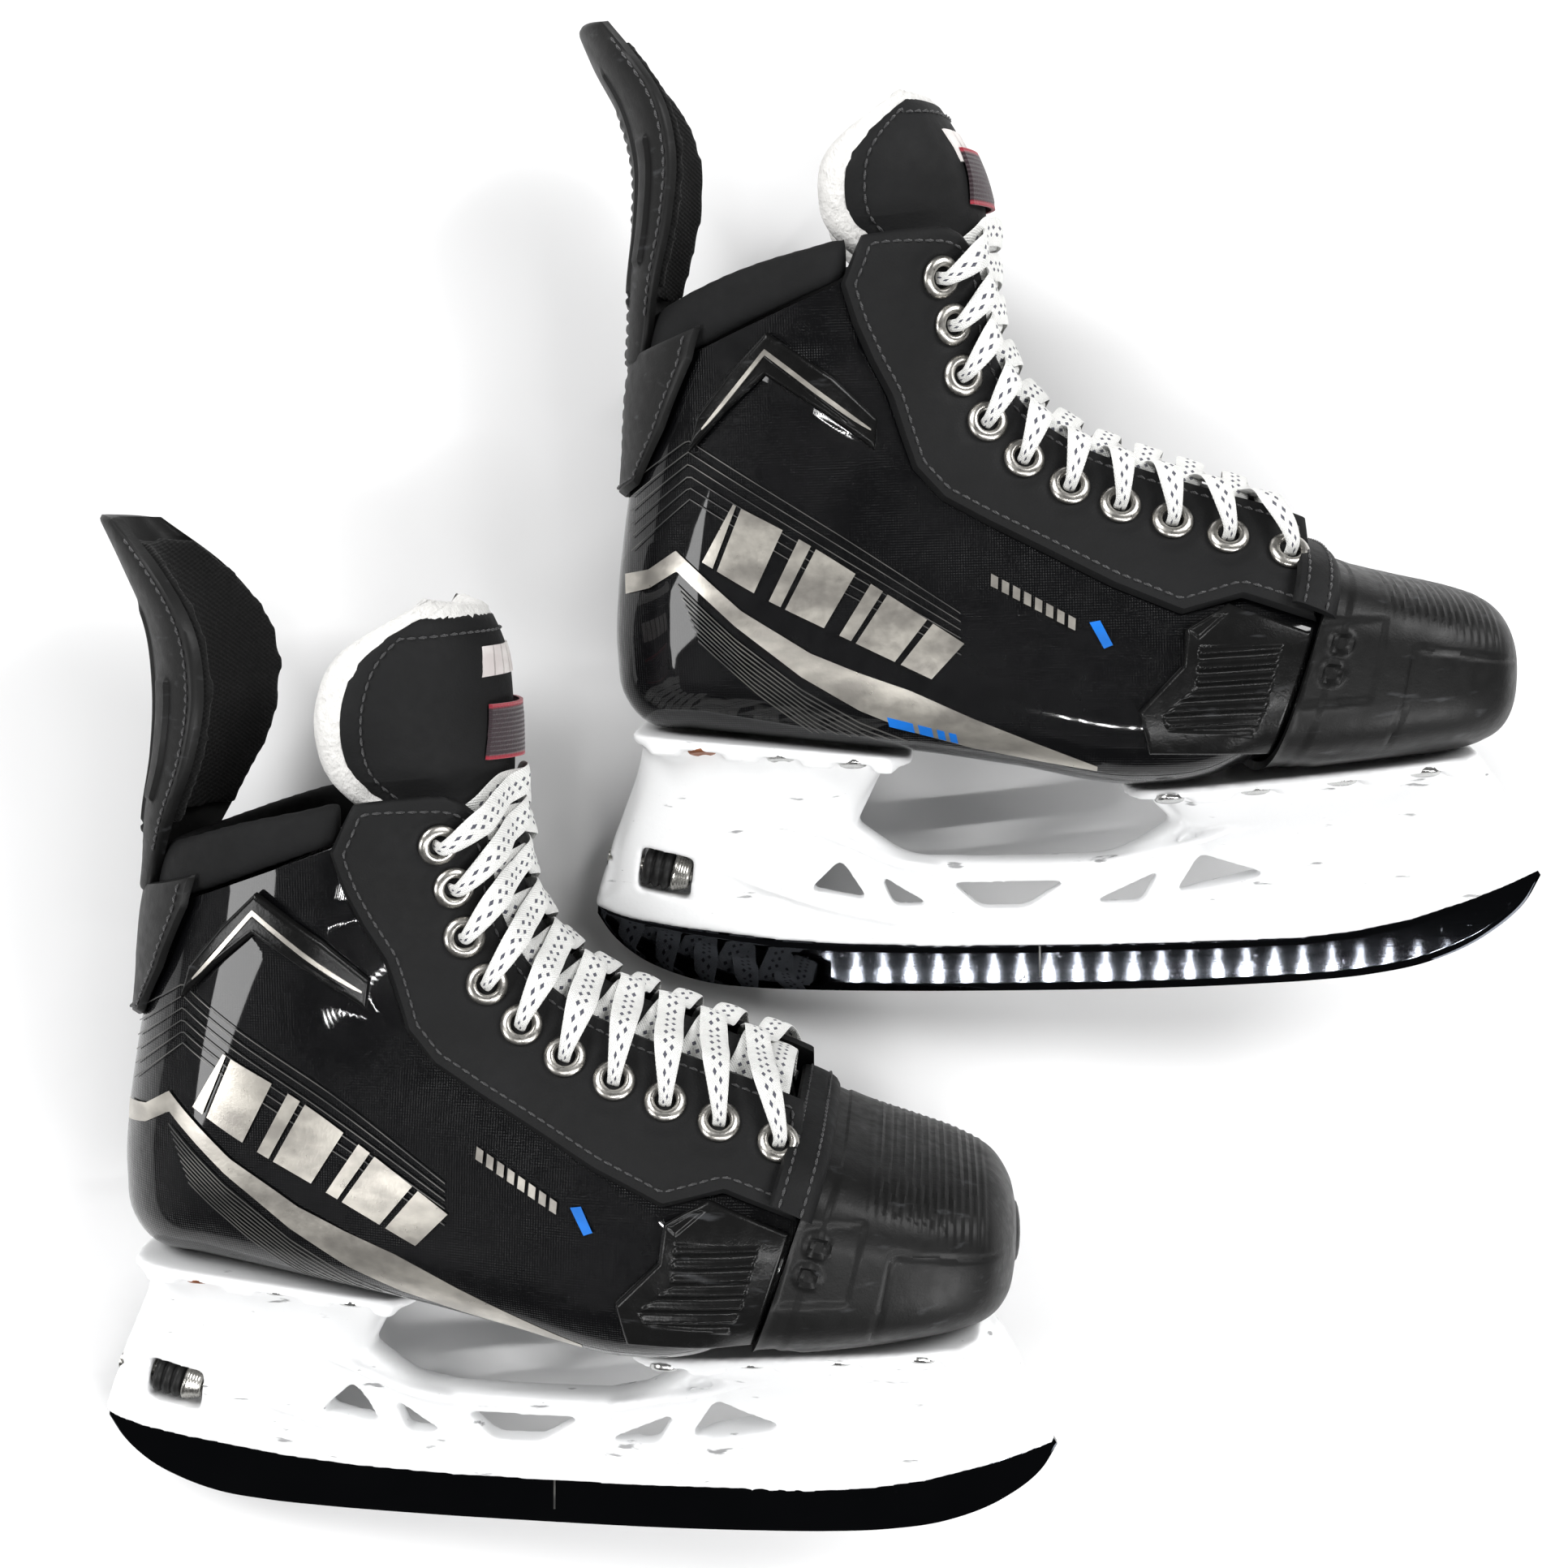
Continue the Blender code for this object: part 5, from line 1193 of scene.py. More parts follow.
def make_tongue(skate):
    grid = tongue_grid(skate.foot, 130, 61)
    normals = inward_normals(grid)
    distance = rim_distance(grid)
    face = narrowed(grid, TONGUE_EDGE)
    face_normals = inward_normals(face)
    rounded = rounding(rim_distance(face), 1.4)
    cover_back = face + (0.3 + TONGUE_COVER * 0.8) * face_normals
    cover_front = face + (TONGUE_COVER * 0.5 * (1 - rounded))[..., None] * face_normals
    soft = rounding(distance, 3.5)
    fuzz = np.random.default_rng(5).normal(0, 0.16, grid.shape[:2])
    bare = step(-distance, -TONGUE_EDGE - 1.5, -TONGUE_EDGE + 0.5)
    front = (TONGUE_COVER + TONGUE_GAP - 0.1) * (1 - bare) + 0.5 * bare
    felt_front = grid + (front + 2.2 * (1 - soft) + fuzz * bare)[..., None] * normals
    behind = TONGUE_COVER + TONGUE_GAP + TONGUE_FELT * (0.55 + 0.45 * soft)
    felt_back = grid + (behind + fuzz)[..., None] * normals
    start, end = skate.place([(TONGUE_BEND_X, 0, z) for z in TONGUE_BEND_Z])
    for name, part, finish in (
        ("tongue_cover", slab(cover_front, cover_back), "tongue"),
        ("tongue_felt", slab(felt_front, felt_back), "felt"),
    ):
        obj = skate.dress(skate.mesh(name + "_fine", part), finish, 60)
        skate.bend(obj, "tongue", start, end, [name + "_lower", name + "_upper"])
    rim, rim_normals = (
        np.concatenate([rows[86:126, 3], rows[125, 4:57], rows[126:86:-1, 57]]) for rows in (face, face_normals)
    )
    parts = stitches(rim - 0.05 * rim_normals, -rim_normals)
    skate.bend(skate.dress(skate.mesh("tongue_stitching", merged(parts)), "thread"), "tongue", start, end)

    marks = []
    shares = np.linspace(0, 1, 6)
    out = np.array([1.0, 0, 0.25])
    top_z = TONGUE_TOP[skate.foot][-1][1]
    for centre in TONGUE_MARKS:
        across = np.linspace(centre - TONGUE_MARK_HALF, centre + TONGUE_MARK_HALF, 6)
        mark = []
        for share in shares:
            lean = TONGUE_MARK_LEAN * (1 - 2 * share)
            mark.append(tongue_line(grid, top_z - 13 - 8 * share, across + lean))
        marks.append(slab(np.array(mark) + 0.55 * out, np.array(mark) - 0.3 * out))
    skate.piece("tongue_marks", merged(marks), "white", "tongue")

    strap = []
    y = np.linspace(-LOOP_HALF_WIDTH, LOOP_HALF_WIDTH, 31)
    for z in np.linspace(LOOP_MIDDLE_Z - LOOP_HALF_HEIGHT, LOOP_MIDDLE_Z + LOOP_HALF_HEIGHT, 14):
        line = tongue_line(grid, z, y)
        line[:, 2] = z
        line[:, 0] += 0.7 + 1.2 * (1 - (y / LOOP_HALF_WIDTH) ** 2)
        strap.append(line)
    strap = np.array(strap)
    skate.piece("tongue_loop_fine", slab(strap + [LOOP_WALL, 0, 0], strap), "loop", "tongue", ["tongue_loop"])


LACE_WIDTH, LACE_THICKNESS, LACE_BUNCHED_WIDTH, LACE_BUNCHED_THICKNESS = 8.4, 1.2, 3.8, 1.7
LACE_UNDER, LACE_OVER, LACE_HOLE_IN, LACE_HOLE_OUT = -1.6, 6.2, -3.2, 6.6
LACE_BRIDGE_UNDER, LACE_BRIDGE_OVER, LACE_TUCK = 3.4, 5.3, 3.0
LACE_SIDES = 14


def lace_stations():
    """The lace's middle line as (point, direction along the throat, width, thickness)."""
    stations = []

    def angle_of(index):
        return EYELET_FIRST + EYELET_STEP * index

    def along_throat(angle):
        return unit(ray_point(angle + 1, crown_at(angle + 1)) - ray_point(angle - 1, crown_at(angle - 1)))

    def flat(p, angle):
        stations.append((p, along_throat(angle), LACE_WIDTH, LACE_THICKNESS))

    def bunched(p, angle):
        stations.append((p, along_throat(angle), LACE_BUNCHED_WIDTH, LACE_BUNCHED_THICKNESS))

    def bridge_point(angle, y, height):
        edge = throat_lifted(angle, 0.0, MEDIAL, TONGUE_SIDE_OFFSET)
        fall = math.hypot(PIVOT[0] - edge[0], PIVOT[1] - edge[2]) - crown_at(angle)
        return ray_point(angle, crown_at(angle) + fall * abs(y) / edge[1] - height, y)

    def through_hole(index, side, offsets=(LACE_HOLE_IN, LACE_HOLE_OUT)):
        p, normal = eyelet_place(index, side)
        for offset in offsets:
            bunched(p + offset * normal, angle_of(index))

    def strand(index, side):
        start, span = angle_of(index), -EYELET_STEP
        near, far = start + 0.25 * span, start + 0.75 * span
        flat(throat_lifted(near, 0, side, LACE_OVER), near)
        height = LACE_BRIDGE_OVER if side == LATERAL else LACE_BRIDGE_UNDER
        flat(bridge_point(start + 0.38 * span, side * 11, height + 0.6), start + 0.38 * span)
        flat(bridge_point(start + 0.5 * span, 0, height), start + 0.5 * span)
        flat(bridge_point(start + 0.62 * span, -side * 11, height), start + 0.62 * span)
        flat(throat_lifted(far, 0, -side, LACE_UNDER), far)

    def run_up(side):
        for index in range(last, 0, -1):
            strand(index, side)
            side = -side
            through_hole(index - 1, side)
        near, tucked = angle_of(0) - 1.5, angle_of(0) - 4.0
        flat(throat_lifted(near, 0, side, LACE_OVER), near)
        height = LACE_BRIDGE_OVER if side == LATERAL else LACE_BRIDGE_UNDER
        flat(bridge_point(angle_of(0) - 2.5, side * 11, height + 0.6), near)
        flat(bridge_point(angle_of(0) - 3.0, 0, height), near)
        flat(bridge_point(tucked, -side * 11, height), tucked)
        flat(throat_lifted(angle_of(0) - 1, 0, -side, LACE_UNDER), tucked)
        flat(throat_lifted(angle_of(0), LACE_TUCK, -side, LACE_UNDER), tucked)

    last = EYELETS - 1
    run_up(LATERAL)
    stations.reverse()
    through_hole(last, LATERAL, (LACE_HOLE_OUT, LACE_HOLE_IN))
    flat(throat_lifted(angle_of(last), 0, LATERAL, LACE_UNDER), angle_of(last))
    flat(bridge_point(angle_of(last), 0, 0.9), angle_of(last))
    flat(throat_lifted(angle_of(last), 0, MEDIAL, LACE_UNDER), angle_of(last))
    through_hole(last, MEDIAL)
    run_up(MEDIAL)
    return stations


def make_lace(skate):
    stations = lace_stations()
    chance = np.random.default_rng(11 if skate.foot == "left" else 23)
    points = np.array([s[0] for s in stations])
    across = np.array([s[1] for s in stations])
    tangents = unit(np.gradient(points, axis=0))
    across = unit(across - (across * tangents).sum(axis=1, keepdims=True) * tangents)
    for k in range(1, len(across)):
        if across[k] @ across[k - 1] < 0:
            across[k] = -across[k]
    sizes = np.array([s[2:] for s in stations])
    flat = sizes[:, 0] > 6
    sizes[flat, 0] *= chance.uniform(0.9, 1.06, flat.sum())
    run = run_along(points)
    at = np.arange(0, run[-1], 0.9)
    i = np.clip(np.searchsorted(run, at) - 1, 0, len(run) - 2)
    length = (run[i + 1] - run[i])[:, None]
    whole = np.concatenate([points, across, sizes], axis=1)
    # Slopes below the full ones keep the lace from swinging wide between its stations
    slopes = np.gradient(whole, run, axis=0) * 0.8
    line = hermite((at - run[i])[:, None] / length, length, whole[i], whole[i + 1], slopes[i], slopes[i + 1])
    centre, side, width, thick = line[:, :3], unit(line[:, 3:6]), line[:, 6], line[:, 7]
    tangent = unit(np.gradient(centre, axis=0))
    side = unit(side - (side * tangent).sum(axis=1, keepdims=True) * tangent)
    normal = np.cross(tangent, side)
    c, s = circle(LACE_SIDES)
    wide, tall = boxed(c, 0.9), boxed(s, 0.7)
    crimp = 0.14 * np.sin(at / 2.1)[:, None] * np.cos(2.6 * wide)[None, :]
    loops = (
        centre[:, None]
        + side[:, None] * (wide[None, :, None] * width[:, None, None] / 2)
        + normal[:, None] * (tall[None, :, None] * thick[:, None, None] / 2 + crimp[..., None])
    )
    obj = skate.mesh("lace_fine", tube(loops))
    weave = np.zeros((len(at), LACE_SIDES, 3))
    weave[..., 0] = at[:, None]
    weave[..., 1] = wide[None, :]
    stored = obj.data.attributes.new("weave", "FLOAT_VECTOR", "POINT")
    stored.data.foreach_set("vector", weave.reshape(-1))
    skate.ride(skate.dress(obj, "lace", 80), "boot", ["lace"])


# ---------------------------------------------------------------- tendon guard

GUARD_WALL, GUARD_PAD_WALL = 2.6, 4.0
GUARD_BEND_X, GUARD_BEND_Z = 22.0, (206.0, 226.0)
# Stations up the guard, as (x of its back, z, depth, half width)
GUARD_STATIONS = {
    "left": [
        (17.5, 198.0, 8, 20), (18.5, 206.0, 9, 21), (20, 222, 11, 26), (22.5, 240, 13.5, 29),
        (23, 258, 15, 30), (19.5, 272, 15.5, 30), (13, 285, 14, 27), (8.5, 296, 10, 19),
    ],
    "right": [
        (17.5, 198.0, 8, 20), (18.5, 206.0, 9, 21), (20, 222, 14, 27), (23, 240, 19, 31),
        (24, 260, 22, 33), (22, 277, 21, 32), (15, 293, 17, 27), (7.5, 307, 9, 17),
    ],
}


def guard_grid(foot, z_values, turns, offset):
    """The guard's back face at turns round the leg, moved inwards by offset."""
    stations = GUARD_STATIONS[foot]
    heights = [s[1] for s in stations]
    back, depth, half = (smooth(heights, [s[k] for s in stations])(z_values)[:, None] for k in (0, 2, 3))
    a = np.radians(turns)[None, :]
    most = math.radians(78)
    x = back + offset + (depth - offset * 0.4) * (1 - np.cos(a)) / (1 - math.cos(most))
    y = (half - offset) * np.sin(a) / math.sin(most)
    return np.stack([x, y, z_values[:, None] + 0 * a], -1)


def guard_relief(grid, turns):
    """How far the guard's middle ribs, side bars and lower cuts stand out."""
    z, turn = grid[..., 2], np.abs(turns)[None, :]
    ribs = 0.5 + 0.5 * np.cos(2 * math.pi * z / 3.4)
    height = 0.7 * ribs * step(z, 236, 240) * step(-z, -274, -270) * step(-turn, -24, -19)
    height += 1.3 * step(-np.abs(turn - 50), -7, -5.5) * step(z, 226, 228) * step(-z, -263, -261)
    height += 0.8 * step(-np.abs(turn - 32), -3, -2) * step(z, 214, 218) * step(-z, -284, -280)
    cuts = 0.5 + 0.5 * np.cos(2 * math.pi * (z - 208) / 3.6)
    height -= 0.9 * cuts**3 * step(-z, -222, -220) * step(-turn, -40, -34)
    return height


def make_tendon_guard(skate):
    foot = skate.foot
    top_z = GUARD_STATIONS[foot][-1][1]
    z_values, turns = np.linspace(199, top_z, 150), np.linspace(-78, 78, 97)
    outer, inner = guard_grid(foot, z_values, turns, 0.0), guard_grid(foot, z_values, turns, GUARD_WALL)
    distance = rim_distance(outer)
    relief = guard_relief(outer, turns) * step(distance, 0.5, 2.5)
    outer = outer + (relief - 1.1 * (1 - rounding(distance, 2.0)))[..., None] * grid_normals(outer)
    start, end = skate.place([(GUARD_BEND_X, 0, z) for z in GUARD_BEND_Z])
    obj = skate.dress(skate.mesh("tendon_guard_fine", slab(outer, inner)), "guard")
    skate.bend(obj, "tendon_guard", start, end, ["tendon_guard"])

    z_values = np.linspace(219, top_z - 6, 44)
    inside = GUARD_WALL + 0.5
    offsets = [inside + GUARD_PAD_WALL * share for share in (0.15, 0.85)]
    layers = [guard_grid(foot, z_values, np.linspace(-80, 80, 56), offset) for offset in offsets]
    obj = skate.mesh("tendon_guard_pad_fine", slab(*layers))
    puffed(skate, obj, "guard_pad", 1.8, 0.8)
    skate.bend(obj, "tendon_guard", start, end, ["tendon_guard_pad"])

    parts = []
    for turn in (-72, 72):
        line = guard_grid(foot, np.linspace(212, top_z - 6, 60), np.array([turn]), -0.1)[:, 0]
        parts += stitches(line, np.tile([-0.3, np.sign(turn), 0.0], (60, 1)))
    obj = skate.dress(skate.mesh("tendon_guard_stitching", merged(parts)), "thread")
    skate.bend(obj, "tendon_guard", start, end)


def make_anchor(skate):
    angles = np.linspace(19.3, 29.2, 44)
    reach = np.interp(angles, [19.5, 22.0, 26.5, 29.2], [24.5, 24.0, 16.0, 8.0])
    rows = []
    for angle, far in zip(angles, reach):
        length = outline_at(angle) - throat_at(angle)
        share = 1 - (far / length) * (1 - np.linspace(0, 1, 60)) ** 2
        lateral, medial = (depth_point(angle + 0 * share, share * length, side) for side in (LATERAL, MEDIAL))
        rows.append(even(np.concatenate([lateral, medial[-2::-1]]), 90))
    grid = np.array(rows)
    normals = grid_normals(grid)
    distance = rim_distance(grid)
    cuts = (0.5 + 0.5 * np.cos(2 * math.pi * (grid[..., 2] - 200) / 4.5)) ** 3
    groove = 0.5 * cuts * step(-np.abs(np.arange(90) - 44.5), -12, -8)[None, :]
    sunk = np.interp(angles, [19.3, 25.0, 29.2], [0.0, 0.0, 1.3])[:, None]
    low = grid + (1.6 - sunk)[..., None] * normals
    height = 1.9 - sunk + 2.0 * rounding(distance, 1.6) - groove * step(distance, 1, 3)
    high = grid + height[..., None] * normals
    skate.piece("tendon_guard_anchor_fine", slab(high, low), "guard", nodes=["tendon_guard_anchor"])
    parts = []
    for column in (4, 85):
        parts += stitches(high[2:42, column], normals[2:42, column])
    parts += stitches(high[41, 5:85], normals[41, 5:85])
    skate.piece("tendon_guard_anchor_stitching", merged(parts), "thread")


# ---------------------------------------------------------------- holder, runner and lock

LIP = [
    (0, 31), (5, 28.4), (12, 26), (26, 23.2), (58, 18.5), (81, 16.6), (110, 15.6), (137, 15.4),
    (174, 15.5), (222, 16.6), (239, 18.5), (256, 22), (274, 28), (286, 33), (295, 37.5),
]
RAIL = [(20, 44), (45, 36), (70, 27.5), (103, 22), (147, 22.3), (197, 29), (241, 41), (268, 50)]
HOLDER_FRONT = [(291, 45), (285, 57), (276, 73)]
HOLDER_BACK = [(15, 71), (7, 52), (1.5, 36)]
BRIDGE_TOP = [(177, 61), (187, 51), (166, 43.5), (99, 43.5), (84, 54), (94, 74)]
TRUSS_HOLES = [
    [(69, 34.5), (88, 30.5), (79.5, 44.5)],
    [(91.5, 39), (96, 28.5), (108, 28.5)],
    [(114, 36), (123.5, 27.5), (138, 27.5), (151, 36)],
    [(157, 28.5), (174, 28.5), (179.5, 39)],
    [(184, 31.5), (213, 37.5), (191.5, 44)],
]
WINDOW = [(14.2, 36.2), (30.8, 32.0), (33.2, 45.8), (16.6, 50.2)]
FLANGE_WALL, FLANGE_GAP = 3.2, 0.9
REAR_TOWER = [(34, 3, 86, 5.6), (50, 8, 84, 8.0), (66, 14.5, 88, 13), (83.5, 19.5, 98.5, 21.0)]
FRONT_TOWER = [(38, 196, 291, 5.6), (50, 189, 287.5, 8.0), (63, 181, 281, 16.5), (72.3, 174.5, 272, 25.5)]
BRIDGE = [
    (78, 58), (88, 50), (100, 42.5), (118, 40.8), (133, 40.6), (150, 40.8), (166, 42), (180, 49), (194, 60),
]
STRUTS = [
    ((84, 50), (93, 27)), ((97, 41), (119, 25)), ((108, 32), (113, 24)), ((168, 42), (145, 25)),
    ((188, 48), (178, 27)),
]
# Ridges along the holder's sides, as (x, z, distance from the middle)
RIDGES = [
    [(58, 62, 9.5), (70, 56.5, 9.2), (84, 49.5, 7.6), (97, 43.5, 6.0), (110, 41, 5.2)],
    [(216, 55, 10.5), (204, 54, 9.5), (190, 49, 8.2), (178, 45.5, 6.2), (160, 41.5, 5.2)],
    [(36, 46, 7.0), (52, 38, 6.3), (72, 30.5, 5.5), (98, 24.5, 5.1)],
    [(262, 52, 8.5), (238, 44, 7.2), (212, 36, 6.0), (190, 30.5, 5.2)],
]
LOCK_CENTRE, LOCK_TILT = (23.6, 41.2), math.radians(14)
TANG_FROM_X, TANG_TO_X, TANG = 11.0, 284.0, 7.0
HOOKS = [(38.0, 47.0, 40.0), (246.0, 256.0, 46.0)]


LOCK_PLACE = np.array([LOCK_CENTRE[0], 0.0, LOCK_CENTRE[1]])
LOCK_AXIS = np.array([math.cos(LOCK_TILT), 0.0, -math.sin(LOCK_TILT)])


def heel_top(x):
    return heel_sole(x) - FLANGE_GAP


def ball_top(x):
    return ball_sole(x) - FLANGE_GAP


# Each flange: its rear end, front end and half width, its top, and the places of its rivets
FLANGES = [
    ((16.5, 103.0, 25.0), heel_top, (39, 63, 85)),
    ((167.0, 271.0, 32.0), ball_top, (179, 204, 229, 253)),
]
COPPER_RIVET_X = 39
RIVET_SECTION = [(0.0, 4.4), (0.9, 4.4), (1.5, 4.0), (1.8, 3.2), (1.5, 2.2), (1.4, 0.3)]


def lip_at(x):
    return np.interp(x, [p[0] for p in LIP], [p[1] for p in LIP])


def tower(stations, slope):
    """A rounded tower through (height, from x, to x, half width), under a sloping sole."""
    heights = [s[0] for s in stations]
    z_values = np.linspace(heights[0], heights[-1], 14)
    x0, x1, half = (smooth(heights, [s[k] for s in stations])(z_values) for k in (1, 2, 3))
    c, s = (boxed(wave, 0.55) for wave in circle(64))
    loops = []
    for z, a, b, h in zip(z_values, x0, x1, half):
        share = ((z - heights[0]) / (heights[-1] - heights[0])) ** 2
        x = (a + b) / 2 + (b - a) / 2 * c
        loops.append(np.stack([x, h * s, z + slope * (x - (a + b) / 2) * share], -1))
    return tube(loops)


def plan_plate(x0, x1, half, top, bottom):
    """A plate with rounded corners between two heights, given as functions of x."""
    c, s = (boxed(wave, 0.35) for wave in circle(72))
    x = (x0 + x1) / 2 + (x1 - x0) / 2 * c
    return tube([np.stack([x, half * s, level(x)], -1) for level in (bottom, top)])


def rounded_outline(outline, radius):
    """A side-view outline with its corners rounded off."""
    outline = np.asarray(outline, float)
    made = []
    for k, corner in enumerate(outline):
        before, after = outline[k - 1] - corner, outline[(k + 1) % len(outline)] - corner
        a = corner + unit(before) * min(radius, np.linalg.norm(before) * 0.45)
        b = corner + unit(after) * min(radius, np.linalg.norm(after) * 0.45)
        for s in np.linspace(0, 1, 6):
            made.append((1 - s) ** 2 * a + 2 * s * (1 - s) * corner + s * s * b)
    return np.array(made)


def tang_outline(grow):
    """The upper edge of the runner's tang with its hooks, grown for the slot that holds it."""
    inner = [x for x, _ in LIP if TANG_FROM_X + 3 < x < TANG_TO_X - 3]
    points = [(TANG_FROM_X - grow, lip_at(TANG_FROM_X) + TANG + grow)]
    points += [(x, lip_at(x) + TANG + grow) for x in inner]
    points.append((TANG_TO_X + grow, lip_at(TANG_TO_X) + TANG + grow))
    for x0, x1, top in HOOKS:
        low, high = x0 - grow, x1 + grow
        points = [p for p in points if not low - 1 <= p[0] <= high + 1]
        points += [(low, lip_at(low) + TANG + grow), (low, top + grow)]
        points += [(high, top + grow), (high, lip_at(high) + TANG + grow)]
        points = sorted(points, key=lambda p: p[0])
    return points


def flange(place, sole_top, rivets):
    """A flange plate, thickened between its rivets."""
    x0, x1, half = place

    def below(drop):
        return lambda x: sole_top(x) - drop

    parts = [plan_plate(x0, x1, half, sole_top, below(FLANGE_WALL))]
    edges = [x0 + 5, *(x for rivet in rivets for x in (rivet - 5.5, rivet + 5.5)), x1 - 5]
    for a, b in zip(edges[::2], edges[1::2]):
        if b - a > 3:
            parts.append(plan_plate(a, b, half - 1.2, below(1.0), below(FLANGE_WALL + 2.4)))
    return parts


def make_holder(skate):
    heel_under = [(x, heel_top(x) - 0.5 * FLANGE_WALL) for x in (96, 20)]
    ball_under = [(x, ball_top(x) - 0.5 * FLANGE_WALL) for x in (270, 176)]
    web = LIP + HOLDER_FRONT + ball_under + BRIDGE_TOP + heel_under + HOLDER_BACK
    parts = [
        extruded(web, 3.7), extruded(np.concatenate([LIP, even(RAIL, 60)[::-1]]), 5.1),
        tower(REAR_TOWER, -0.105), tower(FRONT_TOWER, 0.087),
    ]
    for row in FLANGES:
        parts += flange(*row)
    x, z = spline(BRIDGE, 50).T
    parts.append(rod(np.stack([x, 0 * x, z], -1), 3.4, 16, 1.75))
    for ends in STRUTS:
        x, z = even(ends, 12).T
        parts.append(rod(np.stack([x, 0 * x, z], -1), 2.0, 12, 2.2))
    for side, path in itertools.product((-1, 1), RIDGES):
        line = spline([(x, side * y, z) for x, z, y in path], 30)
        parts.append(rod(line, np.interp(np.linspace(0, 1, 30), [0, 0.3, 1], [0.3, 1.5, 1.9]), 10))
    obj = remeshed(skate.mesh("holder_fine", merged(parts)), 0.9)

    cutters = [extruded(rounded_outline(hole, 2.6), 40) for hole in TRUSS_HOLES]
    cutters.append(extruded(rounded_outline(WINDOW, 2.0), 40))
    slot = tang_outline(0.35)
    cutters.append(extruded([*slot, (slot[-1][0], -5.0), (slot[0][0], -5.0)], 1.7))
    cutters.append(tube(lathe([(-30, 2.9), (15.1, 2.9)], 24, LOCK_PLACE, LOCK_AXIS, (0, 1, 0))))
    for k, cutter in enumerate(cutters):
        helper = skate.mesh(f"holder_cutter_{k}", cutter)
        cut = obj.modifiers.new("cut", "BOOLEAN")
        cut.operation, cut.object, cut.solver = "DIFFERENCE", helper, "MANIFOLD"
        applied(obj)
        bpy.data.objects.remove(helper)
    remeshed(obj, 0.85, 5)
    skate.ride(skate.dress(obj, "holder", 180), "boot", ["holder"])

    heads, copper = [], []
    for (_, _, half), sole_top, rivets in FLANGES:
        for x, side in itertools.product(rivets, (-1, 1)):
            centre = (x, side * (half - 4.6), float(sole_top(x)) - FLANGE_WALL + 0.5)
            head = tube(lathe(RIVET_SECTION, 28, centre, (0, side * 0.35, -1), (1, 0, 0)))
            (copper if x == COPPER_RIVET_X else heads).append(head)
    skate.piece("holder_rivets", merged(heads), "rivet")
    skate.piece("holder_rivets_copper", merged(copper), "copper")


RUNNER_EDGE = [
    (0.3, 27.5), (4.5, 20.7), (13.7, 12.4), (22.8, 7.8), (34.7, 4.0), (50, 2.0), (68, 1.0), (95, 0.3),
    (137, 0), (180, 0.3), (208, 1.2), (227, 2.2), (245, 4.0), (262.6, 7.8), (280, 16.2), (291.6, 27),
    (295.7, 35),
]


def make_runner(skate):
    lower = spline(RUNNER_EDGE, 160)
    shoulder = [x for x, _ in LIP if TANG_FROM_X < x < TANG_TO_X]
    upper = even([(x, lip_at(x) - 0.35) for x in [0.6, LIP[1][0], *shoulder, LIP[-2][0], 294.5]], 160)
    x, z = np.moveaxis(between(upper, lower, 12), -1, 0)
    half_wall = 1.5 - 0.35 * (1 - step(rim_distance(np.stack([x, 0 * x, z], -1)), -0.01, 0.9))
    left, right = (np.stack([x, side * half_wall, z], -1) for side in (-1, 1))
    tang = tang_outline(0.0)
    root = [(x, lip_at(x) - 3.35) for x in (TANG_TO_X, *shoulder[::-1], TANG_FROM_X)]
    parts = [slab(right, left), extruded([*tang, *root], 1.35)]
    skate.piece("runner_fine", merged(parts), "runner", "runner", ["runner"], 30)
    marks = []
    for side in (-1, 1):
        layers = [[[(x, side * y, z) for x in (141.5, 142.1)] for z in (14.6, 4.5)] for y in (1.53, 1.45)]
        marks.append(slab(*np.array(layers)))
    skate.piece("runner_marks", merged(marks), "pinstripe", "runner")


# The lock's sections, as (distance along its axis, radius)
BOLT_SECTION = [
    (-19.4, 0.4), (-19.4, 2.9), (-18.2, 3.1), (-17.4, 2.9), (-17.2, 2.1), (12.9, 2.1), (13.9, 1.4),
    (13.9, 0.3),
]
WHEEL_SECTION = [
    (-7.7, 2.6), (-7.7, 3.8), (2.2, 3.8), (2.2, 6.0), (2.6, 6.3),
    *((2.6 + 0.42 * k, 6.35 - 0.13 * k - (0.22 if k % 2 else 0)) for k in range(1, 12)),
    (7.5, 4.6), (7.7, 4.3), (7.7, 2.6),
]
GRIP_RIDGES, GRIP_TURNS = (-5.9, -2.9, 0.1), (-80, -50, -20, 0, 20, 50, 80)


def make_lock(skate):
    seat = (LOCK_PLACE, LOCK_AXIS, (math.sin(LOCK_TILT), 0, math.cos(LOCK_TILT)))
    grip = [(-7.6, 4.2)]
    for middle, turn in itertools.product(GRIP_RIDGES, np.radians(GRIP_TURNS)):
        grip.append((middle + 1.35 * math.sin(turn), 5.1 + 1.25 * math.cos(turn)))
    grip += [(1.9, 4.9), (1.9, 4.2)]
    skate.piece("lock_bolt_fine", tube(lathe(BOLT_SECTION, 32, *seat)), "lock", "lock_bolt", ["lock_bolt"])
    skate.piece("lock_wheel_fine", ring(WHEEL_SECTION, 72, *seat), "lock", "lock_wheel", ["lock_wheel"], 50)
    skate.piece("lock_grip_fine", ring(grip, 60, *seat), "grip", "lock_wheel", ["lock_grip"], 60)


